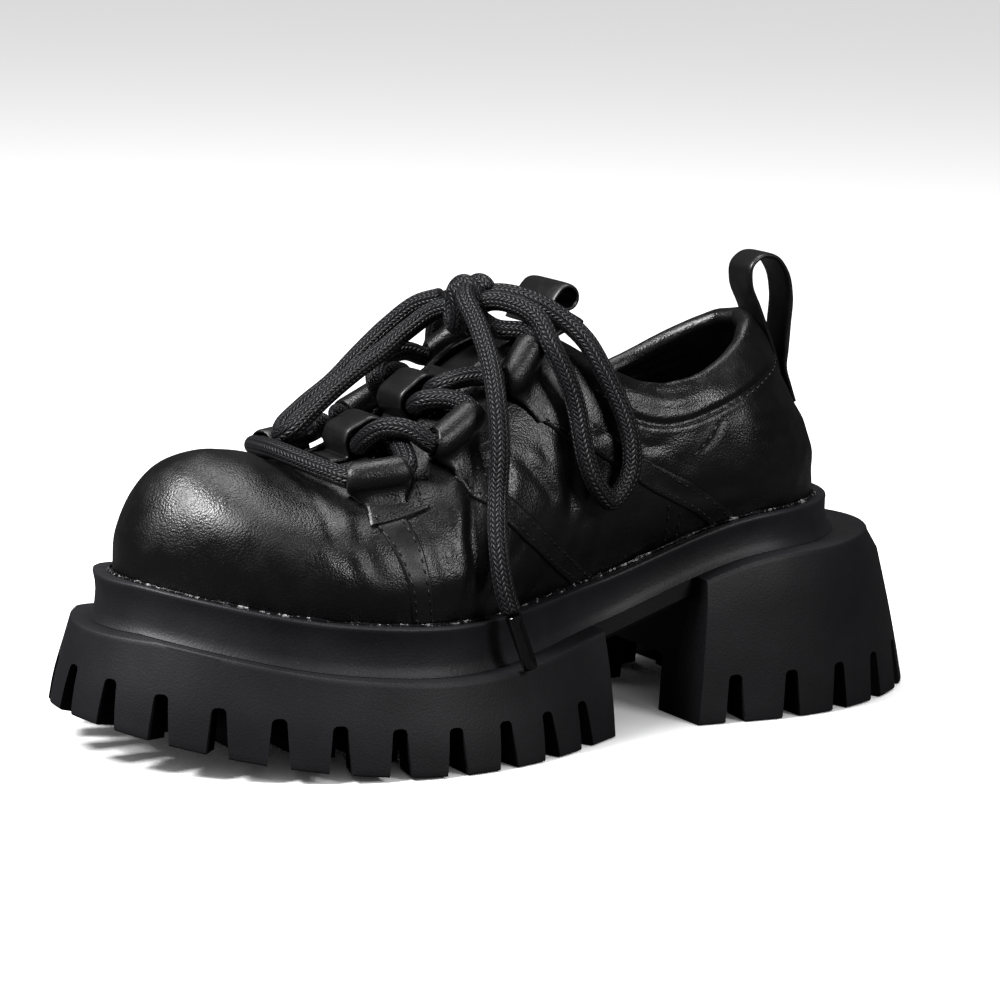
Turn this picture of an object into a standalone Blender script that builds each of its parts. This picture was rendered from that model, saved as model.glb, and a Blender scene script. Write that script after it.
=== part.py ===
"""Platform derby shoe, left foot, as separate sub-parts.

The tables are in millimetres in the shoe's own frame: x runs from the back of the
heel seat to the toe, +y is the wearer's left (the outer side of a left shoe) and z is
the height above the floor. Every mesh is moved to the middle of the outsole and turned
into metres when it is made.
"""

import math

import bmesh
import bpy
import numpy as np

MM = 0.001

# ---------------------------------------------------------------- driving sizes, mm
LENGTH = 250.0  # feather line, heel seat to toe
GAP = 0.3  # clearance between pieces that touch
WALL = 2.0  # leather of the upper
COLLAR_WALL = 6.0  # padded collar
INSOLE_THICK = 3.0
TONGUE_THICK = 4.0
LACE_D = 6.2
LACE_R = LACE_D / 2
SPRING = 14.0  # lift of the sole at the tip of the toe
SPRING_FROM = 160.0  # where the forefoot leaves the floor
HEEL_FRONT = 71.0  # front face of the heel block, at the floor
FORE_BACK = 103.0  # back face of the forefoot unit, at the floor
WEB_THICK = 8.0  # outsole under the arch
CLEAT_H = 14.5  # depth of the notches in the wall
CLEAT_PITCH, HEEL_PITCH = 18.5, 20.4  # between notches: forefoot unit, heel block
CLEAT_TOP, CLEAT_FOOT = 4.2, 7.2  # width of a notch at its arch and at the floor
CUT_OVER = 3.0  # how far a cutter runs past the face it cuts through
WALL_OF_SOLE = 13.0  # lugged wall around the hollow tread
RECESS_H = 12.5
FORE_NOTCHES_FROM = 118.0  # x of the rearmost notches of the forefoot unit, each side
HEEL_NOTCHES_FROM = 58.3  # x of the foremost notches of the heel block, each side
HEEL_NOTCH_GAP = 15.0  # from the back of the heel to the notch on either side of it
FORE_CUT = (-1, 0, 0.03)  # back face of the forefoot unit, a little raked
HEEL_CUT = (1, 0, 0.11)  # front face of the heel block, raked
WEB_LAP = 12.0  # how far the web runs into each block
BAR_THICK = 10.0  # tread bar, along the shoe
BAR_INSET = 6.0  # from the wall's inner face to the end of a bar
FORE_BAR_FROM, HEEL_BAR_FROM = 14.0, 26.0  # from the hollow's straight end to its first bar
MOUTH = ((-20, -4), (24, -4), (22, 18), (-18, 18))  # (y, z) of the opening in the heel's front
MOUTH_REACH = (4.0, 6.0)  # how far its cutter runs past the wall, inside and in front

# Plan of the feather line: half width about the centre line, and the centre line.
PLAN = {  # share of the length: (half width, centre line)
    0.00: (31.5, 0.0),
    0.12: (32.9, 0.6),
    0.40: (26.5, 1.6),
    0.68: (48.5, 0.0),
    0.87: (43.3, -3.2),
    1.00: (40.2, -5.9),
}
OUTER_JOINT = (2.7, 0.62, 0.16)  # extra outer width: size, place, spread
HEEL_ROUND = (41.0, 1.9)  # length and power of the rounded heel end
TOE_ROUND = (52.0, 1.85)  # the same for the toe

# Height of the feather line, and of the midsole band under it.
RISE = {  # share of the length: (feather height, band height)
    0.00: (64.8, 12.1),
    0.18: (63.4, 12.1),
    0.40: (46.8, 13.0),
    0.64: (42.6, 15.1),
    0.82: (45.6, 15.0),
    1.00: (54.3, 14.7),
}

# How far each edge stands out from the feather line: sides, toe, heel.
BAND_TOP = (4.2, 4.2, 1.4)
BAND_WAIST = (2.8, 2.8, 1.2)
BAND_FOOT = (4.2, 4.2, 4.0)
WEB_EDGE = (3.6, 3.6, 3.6)
LEDGE = (12.3, 11.3, 18.5)
TREAD = (17.8, 17.5, 33.8)
UPPER_FOOT = (-0.6, -1.8, -3.4)

# The upper, one row per rib from heel to toe: where the rib starts on the feather line,
# where it ends on the top line, how much lower it ends on the inner side, and how far it
# bellies out (+) at three heights.
RIB_RISE = (0.30, 0.62, 0.88)  # share of the rib's height at the three places
RIB_LEAN = (0.06, 0.24, 0.58)  # share of its way inwards at the same places
RIBS = [
    # foot_x, top_x, top_y, top_z, inner_drop, belly_1, belly_2, belly_3
    (0.0, 27.0, 0.0, 124.0, 0.0, -0.8, -6.6, -6.6),
    (6.0, 31.5, 10.5, 122.0, 0.0, 0.0, -4.4, -4.2),
    (20.0, 44.0, 20.0, 115.0, 0.0, 1.4, 0.0, -0.4),
    (38.0, 59.0, 25.5, 109.0, 2.0, 3.0, 3.8, 2.0),
    (60.0, 76.0, 26.0, 106.5, 5.5, 5.2, 6.0, 3.2),
    (82.0, 90.0, 22.5, 110.0, 6.5, 6.4, 7.0, 3.7),
    (103.0, 113.0, 13.8, 123.0, 2.5, 7.0, 6.8, 3.5),
    (122.0, 131.0, 12.0, 117.5, 0.0, 5.6, 4.5, 1.4),
    (147.0, 151.0, 12.2, 101.5, 0.0, 4.3, 2.8, 0.2),
    (176.0, 175.0, 13.0, 88.0, 0.0, 4.2, 3.4, 0.8),
    (192.0, 188.0, 8.5, 85.6, 0.0, 4.4, 4.4, 2.0),
    (202.0, 196.0, 0.0, 85.6, 0.0, 4.4, 6.2, 3.6),
    (222.0, 208.0, 0.0, 89.6, 0.0, 3.4, 6.2, 4.6),
    (240.0, 218.0, 0.0, 91.4, 0.0, 1.6, 2.4, 3.0),
    (250.0, 222.0, 0.0, 91.6, 0.0, 0.8, 0.6, 1.2),
]
STATIONS = 34  # from heel to toe, on each side
ROWS = 12  # from the feather line to the top line
THROAT_FRONT = 193.5  # the vamp is closed in front of this
COLLAR_FRONT = 112.0  # behind this the top edge is the padded collar

# The tongue runs under the facings between two places on the top line, then stands free.
TONGUE_TOE, TONGUE_FACING = 206.0, 122.0
TONGUE_SINK = 1.4  # how far its middle lies below the facings' edges
TONGUE_DROOP = 3.0  # how far its edges fall below its middle where it stands free
TONGUE_TOP = [  # top_x, half width, height of its middle
    (112.0, 9.6, 123.4),
    (104.0, 11.2, 127.0),
    (97.0, 11.6, 129.4),
]

# Folded loops on each facing, toe end first: the place on the top line whose rib carries
# each end, and the end's share up that rib. Each folds round the lace and has a short tail.
LOOPS = [  # front top_x, front share, back top_x, back share
    (183.6, 0.707, 173.4, 0.716),
    (157.4, 0.774, 148.2, 0.804),
    (132.0, 0.852, 124.6, 0.903),
]
LOOP_R, LOOP_BORE = 5.2, 3.7
LOOP_TAIL, LOOP_TAIL_T = 11.0, 1.8  # length down the facing, and thickness
LOOP_TAIL_LIFT = GAP + 0.35  # clearance of its tail over the facing
LOOP_RUN = 3.0  # the lace runs straight for this far beyond a loop
LOOP_TURNS = (42, 72, 102, 132, 162, 192, 222, 252, 284)  # degrees round a loop's outer face
LOOP_BORE_TURNS = (-40, 4, *LOOP_TURNS)  # the same round its bore
RIB_LONG = 95.0  # mm up a rib at the facings, to turn a length into a share

# Keeper strip along the middle of the tongue: two arches over two strands each.
KEEPERS = (169.0, 149.5)  # top_x under the middle of each arch
KEEPER_W, KEEPER_T = 15.0, 1.8
KEEPER_ARCH = [(7.9, 0.0), (7.8, 4.4), (5.9, 7.0), (0.0, 7.9)]  # half of the inner face
KEEPER_END = 6.0  # flat foot beyond each outer arch
LANE = 3.6  # a strand's distance from the middle of its keeper
EDGE_RISE = 3.2  # how much higher a strand passes over the facings' edges
EDGE_Y, FLAT_Y = 13.2, 8.0  # how far from the middle it rises, and how far it runs level
STRAND_LIFT = LACE_R + 0.4  # its middle line over the tongue

# Pull loops, as closed teardrops seen from the outer side: (x, z) of the leather's middle.
HEEL_LOOP = [
    (18.1, 109.0), (21.4, 117.0), (25.2, 125.5), (28.7, 133.5), (28.4, 139.0), (24.4, 142.0),
    (19.2, 141.4), (14.8, 136.6), (12.7, 128.6), (13.1, 119.0), (14.0, 111.0), (14.6, 105.0),
]
HEEL_LOOP_W = 13.0
HEEL_TAIL = (9.9, 93.5)  # end of its tail, down the back seam
TONGUE_LOOP = (102.6, 133.6, 4.6)  # x, z and outer radius
TONGUE_LOOP_W = 23.0
TONGUE_TAIL = 9.0
PULL_T = 1.9
TAB_TURNS = (40, 72, 104, 136, 168, 200, 232, 264, 296)  # degrees round the tab's outer face
TAB_BORE_TURNS = (-32, 4, *TAB_TURNS)

# The knot: a coil round an axis that runs along the shoe.
KNOT = (132.6, 0.6, 131.6)  # its middle
KNOT_Y, KNOT_Z = 4.6, 6.4  # radius of the coil, sideways and upwards
KNOT_TURNS, KNOT_PITCH = 1.35, 6.8
KNOT_START = 0.1  # share of a turn at which the coil starts

# Free cords from the knot, as hand-chosen points of their middle line.
BOW_OUTER = [
    (124.0, 4.8, 135.2), (113.8, 14.2, 132.4), (107.4, 20.5, 127.2), (103.6, 26.0, 121.7),
    (100.6, 30.5, 114.1), (97.4, 33.6, 106.2), (94.9, 36.3, 98.3), (93.7, 38.2, 90.4),
    (94.4, 39.2, 82.4), (97.6, 39.6, 76.6), (101.8, 40.0, 73.6), (106.7, 40.2, 78.1),
    (110.3, 39.0, 86.3), (111.5, 37.4, 93.6), (112.3, 35.4, 102.0), (115.4, 33.4, 112.7),
    (118.6, 30.0, 121.8), (120.2, 23.2, 129.8), (124.2, 14.6, 133.2),
]
BOW_INNER = [
    (138.6, -8.6, 128.4), (146.5, -11.4, 122.6), (155.0, -11.2, 116.8), (165.8, -10.8, 110.4),
    (174.8, -10.6, 104.2), (182.0, -10.6, 98.4), (187.4, -11.6, 93.4), (188.4, -15.2, 91.4),
    (186.0, -19.4, 93.0), (178.0, -21.4, 98.6), (167.0, -22.0, 105.8), (157.0, -22.4, 114.4),
    (148.0, -21.2, 122.4), (140.2, -16.6, 129.6),
]
END_OUTER = [
    (137.9, 9.3, 135.2), (139.6, 20.0, 128.2), (141.0, 30.5, 118.0), (143.0, 38.6, 106.1),
    (144.4, 43.2, 93.6), (146.4, 46.0, 80.9), (148.9, 50.2, 72.0), (150.4, 54.6, 62.0),
    (149.6, 57.0, 52.0), (147.6, 58.0, 45.6),
]
END_INNER = [
    (129.0, -8.4, 131.2), (127.2, -22.0, 129.0), (125.0, -31.0, 119.6), (122.4, -36.0, 106.4),
    (120.6, -38.0, 92.0), (121.4, -42.4, 80.0), (123.2, -45.8, 70.0), (125.4, -48.2, 61.0),
]
# The lace between the knot and the third loops, and the bar across the vamp up to its middle.
START_OUTER = [(127.2, 11.8, 124.6), (122.0, 15.6, 124.8), (119.0, 20.0, 123.6)]
START_INNER = [(118.6, -17.6, 122.8), (121.4, -13.6, 124.6), (126.6, -11.0, 124.4)]
BAR = [(190.9, 26.8, 86.2), (193.4, 20.5, 87.2), (195.8, 12.5, 88.5), (197.3, 5.0, 89.3), (197.8, -1.8, 89.6)]
# Each strand over the facings, between loops and keepers: (top_x, share up the rib, lift).
# The first part of each is the side it comes from, the second the side it goes to.
WAYS_2_REAR = ([(136.8, 0.90, 4.8)], [(142.6, 0.86, 4.6)])
WAYS_1_REAR = ([(162.4, 0.85, 5.2)], [(167.0, 0.82, 4.6)])
WAYS_1_AHEAD = ([(168.6, 0.82, 4.8)], [(167.0, 0.90, 11.6), (162.2, 0.82, 9.4)])
WAYS_2_AHEAD = ([(145.6, 0.88, 4.8)], [(144.4, 0.92, 11.8), (138.0, 0.88, 9.8)])
AGLET_D, AGLET_LONG = 5.0, 18.0
CORD_STEP = 13.0  # distance between the points of a free cord
CROSSING_STEP = 5.0  # the same for the strands through the loops
CROSSING_BEND = 5.0  # reach over which their bends are rounded

COLOURS = {  # name: (colour, roughness)
    "leather": ((0.016, 0.016, 0.018), 0.42),
    "rubber": ((0.030, 0.030, 0.033), 0.75),
    "sock": ((0.012, 0.012, 0.013), 0.85),
    "lace": ((0.014, 0.014, 0.015), 0.80),
    "aglet": ((0.020, 0.020, 0.022), 0.30),
}


# ---------------------------------------------------------------- curves and tables
def smooth(keys, values, at):
    """Catmull-Rom reading of a table whose keys need not be evenly spaced."""
    keys, values = np.asarray(keys, float), np.asarray(values, float)
    at = np.clip(np.asarray(at, float), keys[0], keys[-1])
    step = np.diff(keys)
    flat = values.ndim == 1
    values = values[:, None] if flat else values
    slope = np.diff(values, axis=0) / step[:, None]
    tangent = np.empty_like(values)
    tangent[0], tangent[-1] = slope[0], slope[-1]
    share = (step[1:] / (step[1:] + step[:-1]))[:, None]
    tangent[1:-1] = slope[:-1] * share + slope[1:] * (1 - share)
    i = np.clip(np.searchsorted(keys, at, side="right") - 1, 0, len(step) - 1)
    h = step[i][..., None]
    u = ((at - keys[i])[..., None]) / h
    found = (
        values[i] * (2 * u**3 - 3 * u**2 + 1)
        + tangent[i] * h * (u**3 - 2 * u**2 + u)
        + values[i + 1] * (3 * u**2 - 2 * u**3)
        + tangent[i + 1] * h * (u**3 - u**2)
    )
    return found[..., 0] if flat else found


def read(table, x):
    """The columns of a table keyed by share of the length, at x."""
    keys = sorted(table)
    return smooth(keys, [table[k] for k in keys], np.asarray(x, float) / LENGTH)


def centre_line(x):
    return read(PLAN, x)[..., 1]


def feather_height(x):
    return read(RISE, x)[..., 0]


def ledge_height(x):
    """Top of the outsole, under the midsole band."""
    rise = read(RISE, x)
    return rise[..., 0] - rise[..., 1]


def floor_height(x):
    """Underside of the tread: flat, then lifted towards the toe."""
    tip = LENGTH + TREAD[1]
    lift = np.clip((np.asarray(x, float) - SPRING_FROM) / (tip - SPRING_FROM), 0, 1.1)
    return SPRING * lift**2


def half_width(x, side):
    """y of the feather line at x, on the outer (+1) or inner (-1) side."""
    width, middle = np.moveaxis(read(PLAN, x), -1, 0)
    for length, power, depth in (
        (*HEEL_ROUND, x),
        (*TOE_ROUND, LENGTH - x),
    ):
        into = np.clip((length - depth) / length, 0, 1)
        width = width * (1 - into**power) ** (1 / power)
    size, place, spread = OUTER_JOINT
    bulge = size * np.exp(-(((x / LENGTH - place) / spread) ** 2)) if side > 0 else 0.0
    return middle + side * width + bulge * (width > 0)


def side_curve(side):
    """Fine points of one side of the feather line and their shares of its arc."""
    x = LENGTH / 2 * (1 - np.cos(np.linspace(0, math.pi, 721)))
    points = np.stack([x, half_width(x, side)], 1)
    points[0, 1], points[-1, 1] = centre_line(0.0), centre_line(LENGTH)
    arc = np.r_[0, np.cumsum(np.linalg.norm(np.diff(points, axis=0), axis=1))]
    return points, arc / arc[-1]


def plan_ring():
    """Heel tip, outer side, toe tip, inner side: the feather line and its outward normals."""
    share = np.arange(STATIONS + 1) / STATIONS
    sides = []
    for side in (1, -1):
        points, arc = side_curve(side)
        sides.append(np.stack([np.interp(share, arc, points[:, k]) for k in (0, 1)], 1))
    ring = np.concatenate([sides[0], sides[1][-2:0:-1]])
    tangent = np.roll(ring, 1, 0) - np.roll(ring, -1, 0)
    tangent /= np.linalg.norm(tangent, axis=1)[:, None]
    return ring, np.stack([tangent[:, 1], -tangent[:, 0]], 1)


RING, OUT = plan_ring()
COUNT = len(RING)


def reach_at(offsets, nx):
    """Offset from the feather line where its outward normal has this x part."""
    side, toe, heel = offsets
    return side + (toe - side) * np.clip(nx, 0, 1) ** 2 + (heel - side) * np.clip(-nx, 0, 1) ** 2


def edge(offsets, height, drop=0.0):
    """The feather line moved outwards, at the height that a function of x gives."""
    xy = RING + OUT * reach_at(offsets, OUT[:, 0])[:, None]
    return np.column_stack([xy, height(xy[:, 0]) - drop])


def middle_of_tread():
    ring = edge(TREAD, floor_height)
    return (ring.max(0) + ring.min(0)) / 2 * [1, 1, 0]


ORIGIN = middle_of_tread()


# ---------------------------------------------------------------- making objects
def material(name):
    colour, rough = COLOURS[name]
    made = bpy.data.materials.get(name) or bpy.data.materials.new(name)
    made.use_nodes = True
    shader = made.node_tree.nodes["Principled BSDF"]
    shader.inputs["Base Color"].default_value = (*colour, 1)
    shader.inputs["Roughness"].default_value = rough
    shader.inputs["Metallic"].default_value = 0.0
    return made


def add_mesh(name, points, faces, finish):
    """One object from points in mm; the faces are turned outwards."""
    mesh = bpy.data.meshes.new(name)
    moved = (np.asarray(points, float) - ORIGIN) * MM
    mesh.from_pydata([tuple(p) for p in moved], [], [tuple(f) for f in faces])
    bm = bmesh.new()
    bm.from_mesh(mesh)
    bmesh.ops.recalc_face_normals(bm, faces=bm.faces)
    bm.to_mesh(mesh)
    bm.free()
    mesh.shade_smooth()
    mesh.set_sharp_from_angle(angle=math.radians(40))
    made = bpy.data.objects.new(name, mesh)
    bpy.context.scene.collection.objects.link(made)
    made.data.materials.append(material(finish))
    return made


def ladder(start, turned):
    """Faces across a ring of COUNT points, heel to toe, between its two sides."""
    far = STATIONS
    faces = [(0, 1, COUNT - 1), (far - 1, far, far + 1)]
    faces += [(k, k + 1, COUNT - k - 1, COUNT - k) for k in range(1, far - 1)]
    return [tuple(start + v for v in (f[::-1] if turned else f)) for f in faces]


def loft(rings):
    """A closed solid through rings of the same count, bottom first."""
    points = np.concatenate(rings)
    faces = ladder(0, True) + ladder((len(rings) - 1) * COUNT, False)
    for level in range(len(rings) - 1):
        low, high = level * COUNT, (level + 1) * COUNT
        for j in range(COUNT):
            k = (j + 1) % COUNT
            faces.append((low + j, low + k, high + k, high + j))
    return points, faces


def cut_off(made, point, normal):
    """Removes what lies beyond a plane (mm, shoe frame) and closes the cut."""
    bm = bmesh.new()
    bm.from_mesh(made.data)
    where = (np.asarray(point, float) - ORIGIN) * MM
    result = bmesh.ops.bisect_plane(
        bm,
        geom=bm.verts[:] + bm.edges[:] + bm.faces[:],
        plane_co=where,
        plane_no=normal,
        clear_outer=True,
        dist=1e-6,
    )
    rim = [e for e in result["geom_cut"] if isinstance(e, bmesh.types.BMEdge)]
    bmesh.ops.contextual_create(bm, geom=rim)
    bmesh.ops.recalc_face_normals(bm, faces=bm.faces)
    bm.to_mesh(made.data)
    bm.free()


def combine(made, other, operation):
    """Unites or cuts with another object, which is then removed."""
    modifier = made.modifiers.new(operation.lower(), "BOOLEAN")
    modifier.operation = operation
    modifier.solver = "EXACT"
    modifier.object = other
    bpy.context.view_layer.update()
    graph = bpy.context.evaluated_depsgraph_get()
    mesh = bpy.data.meshes.new_from_object(made.evaluated_get(graph))
    made.modifiers.clear()
    old, made.data = made.data, mesh
    bpy.data.meshes.remove(old)
    bpy.data.objects.remove(other)


def box_faces(start=0):
    """Faces of a prism of two rings of four points."""
    quads = [(0, 1, 2, 3), (4, 7, 6, 5), (0, 4, 5, 1), (1, 5, 6, 2), (2, 6, 7, 3), (3, 7, 4, 0)]
    return [tuple(start + v for v in q) for q in quads]


# ---------------------------------------------------------------- sole
def sole_block(name):
    """The whole outline as one flared block, before it is cut to length."""
    rings = [
        edge(TREAD, floor_height),
        edge([(a * 0.25 + b * 0.75) + 0.3 for a, b in zip(TREAD, LEDGE)], ledge_height, 8.0),
        edge(LEDGE, ledge_height, 1.4),
        edge([a - 1.2 for a in LEDGE], ledge_height, 0.0),
    ]
    return add_mesh(name, *loft(rings), "rubber")


def tread_ring(inset, height):
    return edge([a - inset for a in TREAD], height)


def notch(point, out, top_z, foot_z):
    """Points of one arched notch that runs inwards from a place on the tread's edge."""
    along = np.array([-out[1], out[0], 0.0])
    out = np.array([out[0], out[1], 0.0])
    half = [(CLEAT_TOP / 4, top_z - 0.3), (CLEAT_TOP / 2, top_z - 1.6)]  # the arch, then its foot
    half.append((CLEAT_FOOT / 2 + 0.3, foot_z - CUT_OVER))
    outline = [(-a, z) for a, z in half[::-1]] + half
    points = []
    for depth in (2 * CUT_OVER, -WALL_OF_SOLE - CUT_OVER + 1.0):
        base = np.array([point[0], point[1], 0.0]) + out * depth
        points += [base + along * a + [0, 0, z] for a, z in outline]
    return points


def notches(name, ring, first, last, spacing, height):
    """Arched notches at even spacing along a stretch of the tread's edge."""
    loop = np.concatenate([ring, ring[:1]])
    arc = np.r_[0, np.cumsum(np.linalg.norm(np.diff(loop[:, :2], axis=0), axis=1))]
    number = max(2, round((last - first) / spacing) + 1)
    points, faces = [], []
    for at in np.linspace(first, last, number):
        here = np.array([np.interp(at, arc, loop[:, k]) for k in range(3)])
        ahead = np.array([np.interp(at + 3, arc, loop[:, k]) for k in range(2)])
        behind = np.array([np.interp(at - 3, arc, loop[:, k]) for k in range(2)])
        tangent = (ahead - behind) / np.linalg.norm(ahead - behind)
        out = np.array([-tangent[1], tangent[0]])
        if out @ (here[:2] - [LENGTH / 2, 0]) < 0 and abs(out[1]) > 0.5:
            out = -out
        base, size = len(points), 6
        points += notch(here, out, here[2] + height, here[2])
        faces.append([base + k for k in range(size)])
        faces.append([base + size + k for k in reversed(range(size))])
        for k in range(size):
            n = (k + 1) % size
            faces.append([base + k, base + size + k, base + size + n, base + n])
    return add_mesh(name, points, faces, "rubber")


def arc_to(ring, x, side):
    """Arc length along the ring to where it passes x on one side."""
    loop = np.concatenate([ring, ring[:1]])
    arc = np.r_[0, np.cumsum(np.linalg.norm(np.diff(loop[:, :2], axis=0), axis=1))]
    part = slice(0, STATIONS + 1) if side > 0 else slice(STATIONS, COUNT + 1)
    order = np.argsort(loop[part, 0])
    return float(np.interp(x, loop[part, 0][order], arc[part][order]))


def bars(name, places, thick, half, height):
    """Tread bars across the hollow, each from inside the block down to the floor."""
    points, faces = [], []
    for x in places:
        base = len(points)
        foot = floor_height(x + thick / 2)
        reach = half(x)
        low, high = (x - thick / 2, x + thick / 2), (foot, floor_height(x) + height)
        for z in high:
            points += [(low[0], reach[0], z), (low[1], reach[0], z)]
            points += [(low[1], reach[1], z), (low[0], reach[1], z)]
        faces += box_faces(base)
    return add_mesh(name, points, faces, "rubber")


def make_outsole():
    """Forefoot unit, heel block and the web between them, moulded as one."""
    fore = sole_block("outsole")
    cut_off(fore, (FORE_BACK, 0, 0), FORE_CUT)
    heel = sole_block("heel_half")
    cut_off(heel, (HEEL_FRONT, 0, 0), HEEL_CUT)

    web_rings = [
        edge([a - 2.0 for a in WEB_EDGE], ledge_height, WEB_THICK),
        edge(WEB_EDGE, ledge_height, WEB_THICK - 2.0),
        edge(WEB_EDGE, ledge_height, 0.02),
    ]
    web = add_mesh("web_half", *loft(web_rings), "rubber")
    cut_off(web, (FORE_BACK + WEB_LAP, 0, 0), (1, 0, 0))
    cut_off(web, (HEEL_FRONT - WEB_LAP, 0, 0), (-1, 0, 0))
    combine(fore, heel, "UNION")
    combine(fore, web, "UNION")

    recess = [tread_ring(WALL_OF_SOLE, lambda x: floor_height(x) - CUT_OVER)]
    recess.append(tread_ring(WALL_OF_SOLE, lambda x: floor_height(x) + RECESS_H))
    fore_hollow = add_mesh("fore_hollow", *loft(recess), "rubber")
    cut_off(fore_hollow, (FORE_BACK + WALL_OF_SOLE, 0, 0), (-1, 0, 0))
    combine(fore, fore_hollow, "DIFFERENCE")
    heel_hollow = add_mesh("heel_hollow", *loft(recess), "rubber")
    cut_off(heel_hollow, (HEEL_FRONT - WALL_OF_SOLE, 0, 0), (1, 0, 0))
    combine(fore, heel_hollow, "DIFFERENCE")

    tread = edge(TREAD, floor_height)
    outer_fore, inner_fore = (arc_to(tread, FORE_NOTCHES_FROM, side) for side in (1, -1))
    cutters = notches("fore_notches", tread, outer_fore, inner_fore, CLEAT_PITCH, CLEAT_H)
    combine(fore, cutters, "DIFFERENCE")
    outer_heel, inner_heel = (arc_to(tread, HEEL_NOTCHES_FROM, side) for side in (1, -1))
    for name, first, last in (
        ("heel_notches_outer", HEEL_NOTCH_GAP, outer_heel),
        ("heel_notches_inner", inner_heel, total_arc(tread) - HEEL_NOTCH_GAP),
    ):
        combine(fore, notches(name, tread, first, last, HEEL_PITCH, CLEAT_H + 1.0), "DIFFERENCE")
    inside, before = MOUTH_REACH
    mouth_x = (HEEL_FRONT - WALL_OF_SOLE - inside, HEEL_FRONT + before)
    mouth = [(x, y, z) for x in mouth_x for y, z in MOUTH]
    combine(fore, add_mesh("heel_mouth", mouth, box_faces(), "rubber"), "DIFFERENCE")

    inner = tread_ring(WALL_OF_SOLE + BAR_INSET, floor_height)

    def reach(x):
        sides = (inner[: STATIONS + 1], inner[STATIONS:])
        return [float(np.interp(x, s[np.argsort(s[:, 0]), 0], s[np.argsort(s[:, 0]), 1])) for s in sides]

    fore_bars = np.arange(FORE_BACK + WALL_OF_SOLE + FORE_BAR_FROM, LENGTH - 1.0, CLEAT_PITCH)
    combine(fore, bars("fore_bars", fore_bars, BAR_THICK, reach, RECESS_H + 1.0), "UNION")
    heel_bars = np.arange(HEEL_FRONT - WALL_OF_SOLE - HEEL_BAR_FROM, -8.0, -CLEAT_PITCH)
    combine(fore, bars("heel_bars", heel_bars, BAR_THICK, reach, RECESS_H + 1.0), "UNION")
    return fore


def total_arc(ring):
    loop = np.concatenate([ring, ring[:1]])
    return float(np.linalg.norm(np.diff(loop[:, :2], axis=0), axis=1).sum())


def make_midsole():
    """Hollow-sided band with a small lip, between outsole and upper."""
    rings = [
        edge([a - 0.8 for a in BAND_FOOT], ledge_height, -GAP),
        edge(BAND_FOOT, ledge_height, -GAP - 1.0),
        edge(BAND_WAIST, lambda x: (ledge_height(x) + feather_height(x)) / 2, -0.6),
        edge(BAND_TOP, feather_height, 2.6),
        edge([a + 0.3 for a in BAND_TOP], feather_height, 1.1),
        edge([a - 0.9 for a in BAND_TOP], feather_height, 0.0),
    ]
    return add_mesh("midsole", *loft(rings), "rubber")


def make_insole():
    inset = [a - WALL - 1.4 for a in UPPER_FOOT]
    rings = [
        edge(inset, feather_height, -GAP),
        edge(inset, feather_height, -GAP - INSOLE_THICK + 0.6),
        edge([a - 1.2 for a in inset], feather_height, -GAP - INSOLE_THICK),
    ]
    return add_mesh("insole", *loft(rings), "sock")


# ---------------------------------------------------------------- upper
def rib_rows():
    """The table of ribs, keyed by share of the arc of the feather line."""
    points, arc = side_curve(1)
    keys = np.interp([row[0] for row in RIBS], points[:, 0], arc)
    keys[0], keys[-1] = 0.0, 1.0
    return keys, np.array([row[1:] for row in RIBS])


RIB_KEYS, RIB_VALUES = rib_rows()


def foot_of(share, side):
    """Point and outward normal on the feather line, at a share of one side's arc."""
    at = share * STATIONS if side > 0 else (COUNT - share * STATIONS)
    i = int(math.floor(at))
    u = at - i
    here, ahead = i % COUNT, (i + 1) % COUNT
    point = RING[here] * (1 - u) + RING[ahead] * u
    out = OUT[here] * (1 - u) + OUT[ahead] * u
    return point, out / np.linalg.norm(out)


def rib(share, side, rows=ROWS):
    """Points of the outer face of the upper up one rib, feather line first."""
    foot, out = foot_of(share, side)
    foot = foot + out * reach_at(UPPER_FOOT, out[0])
    top_x, top_y, top_z, inner_drop, *belly = smooth(RIB_KEYS, RIB_VALUES, share)
    closed = top_x > THROAT_FRONT or share in (0.0, 1.0)
    top_y = 0.0 if closed else max(top_y, 0.0)
    top_z -= inner_drop if side < 0 else 0.0
    low = np.array([*foot, feather_height(foot[0]) + GAP])
    top = np.array([top_x, side * top_y + centre_line(top_x), top_z])
    knots = [low]
    for rise, lean, bulge in zip(RIB_RISE, RIB_LEAN, belly):
        share_of = np.array([lean, lean, rise])
        knots.append(low + (top - low) * share_of + np.array([*out, 0]) * bulge)
    knots.append(top)
    knots = np.array(knots)
    last = top - knots[-2]
    beyond = top + last * ([1, 1, -1] if top_x > THROAT_FRONT else [1, 1, 1])
    knots = np.concatenate([[2 * low - knots[1]], knots, [beyond]])
    step = np.r_[0, np.cumsum(np.sqrt(np.linalg.norm(np.diff(knots, axis=0), axis=1)))]
    fine = smooth(step, knots, np.linspace(step[1], step[-2], 80))
    length = np.r_[0, np.cumsum(np.linalg.norm(np.diff(fine, axis=0), axis=1))]
    even = np.linspace(0, length[-1], rows + 1)
    return np.stack([np.interp(even, length, fine[:, k]) for k in range(3)], 1)


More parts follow.
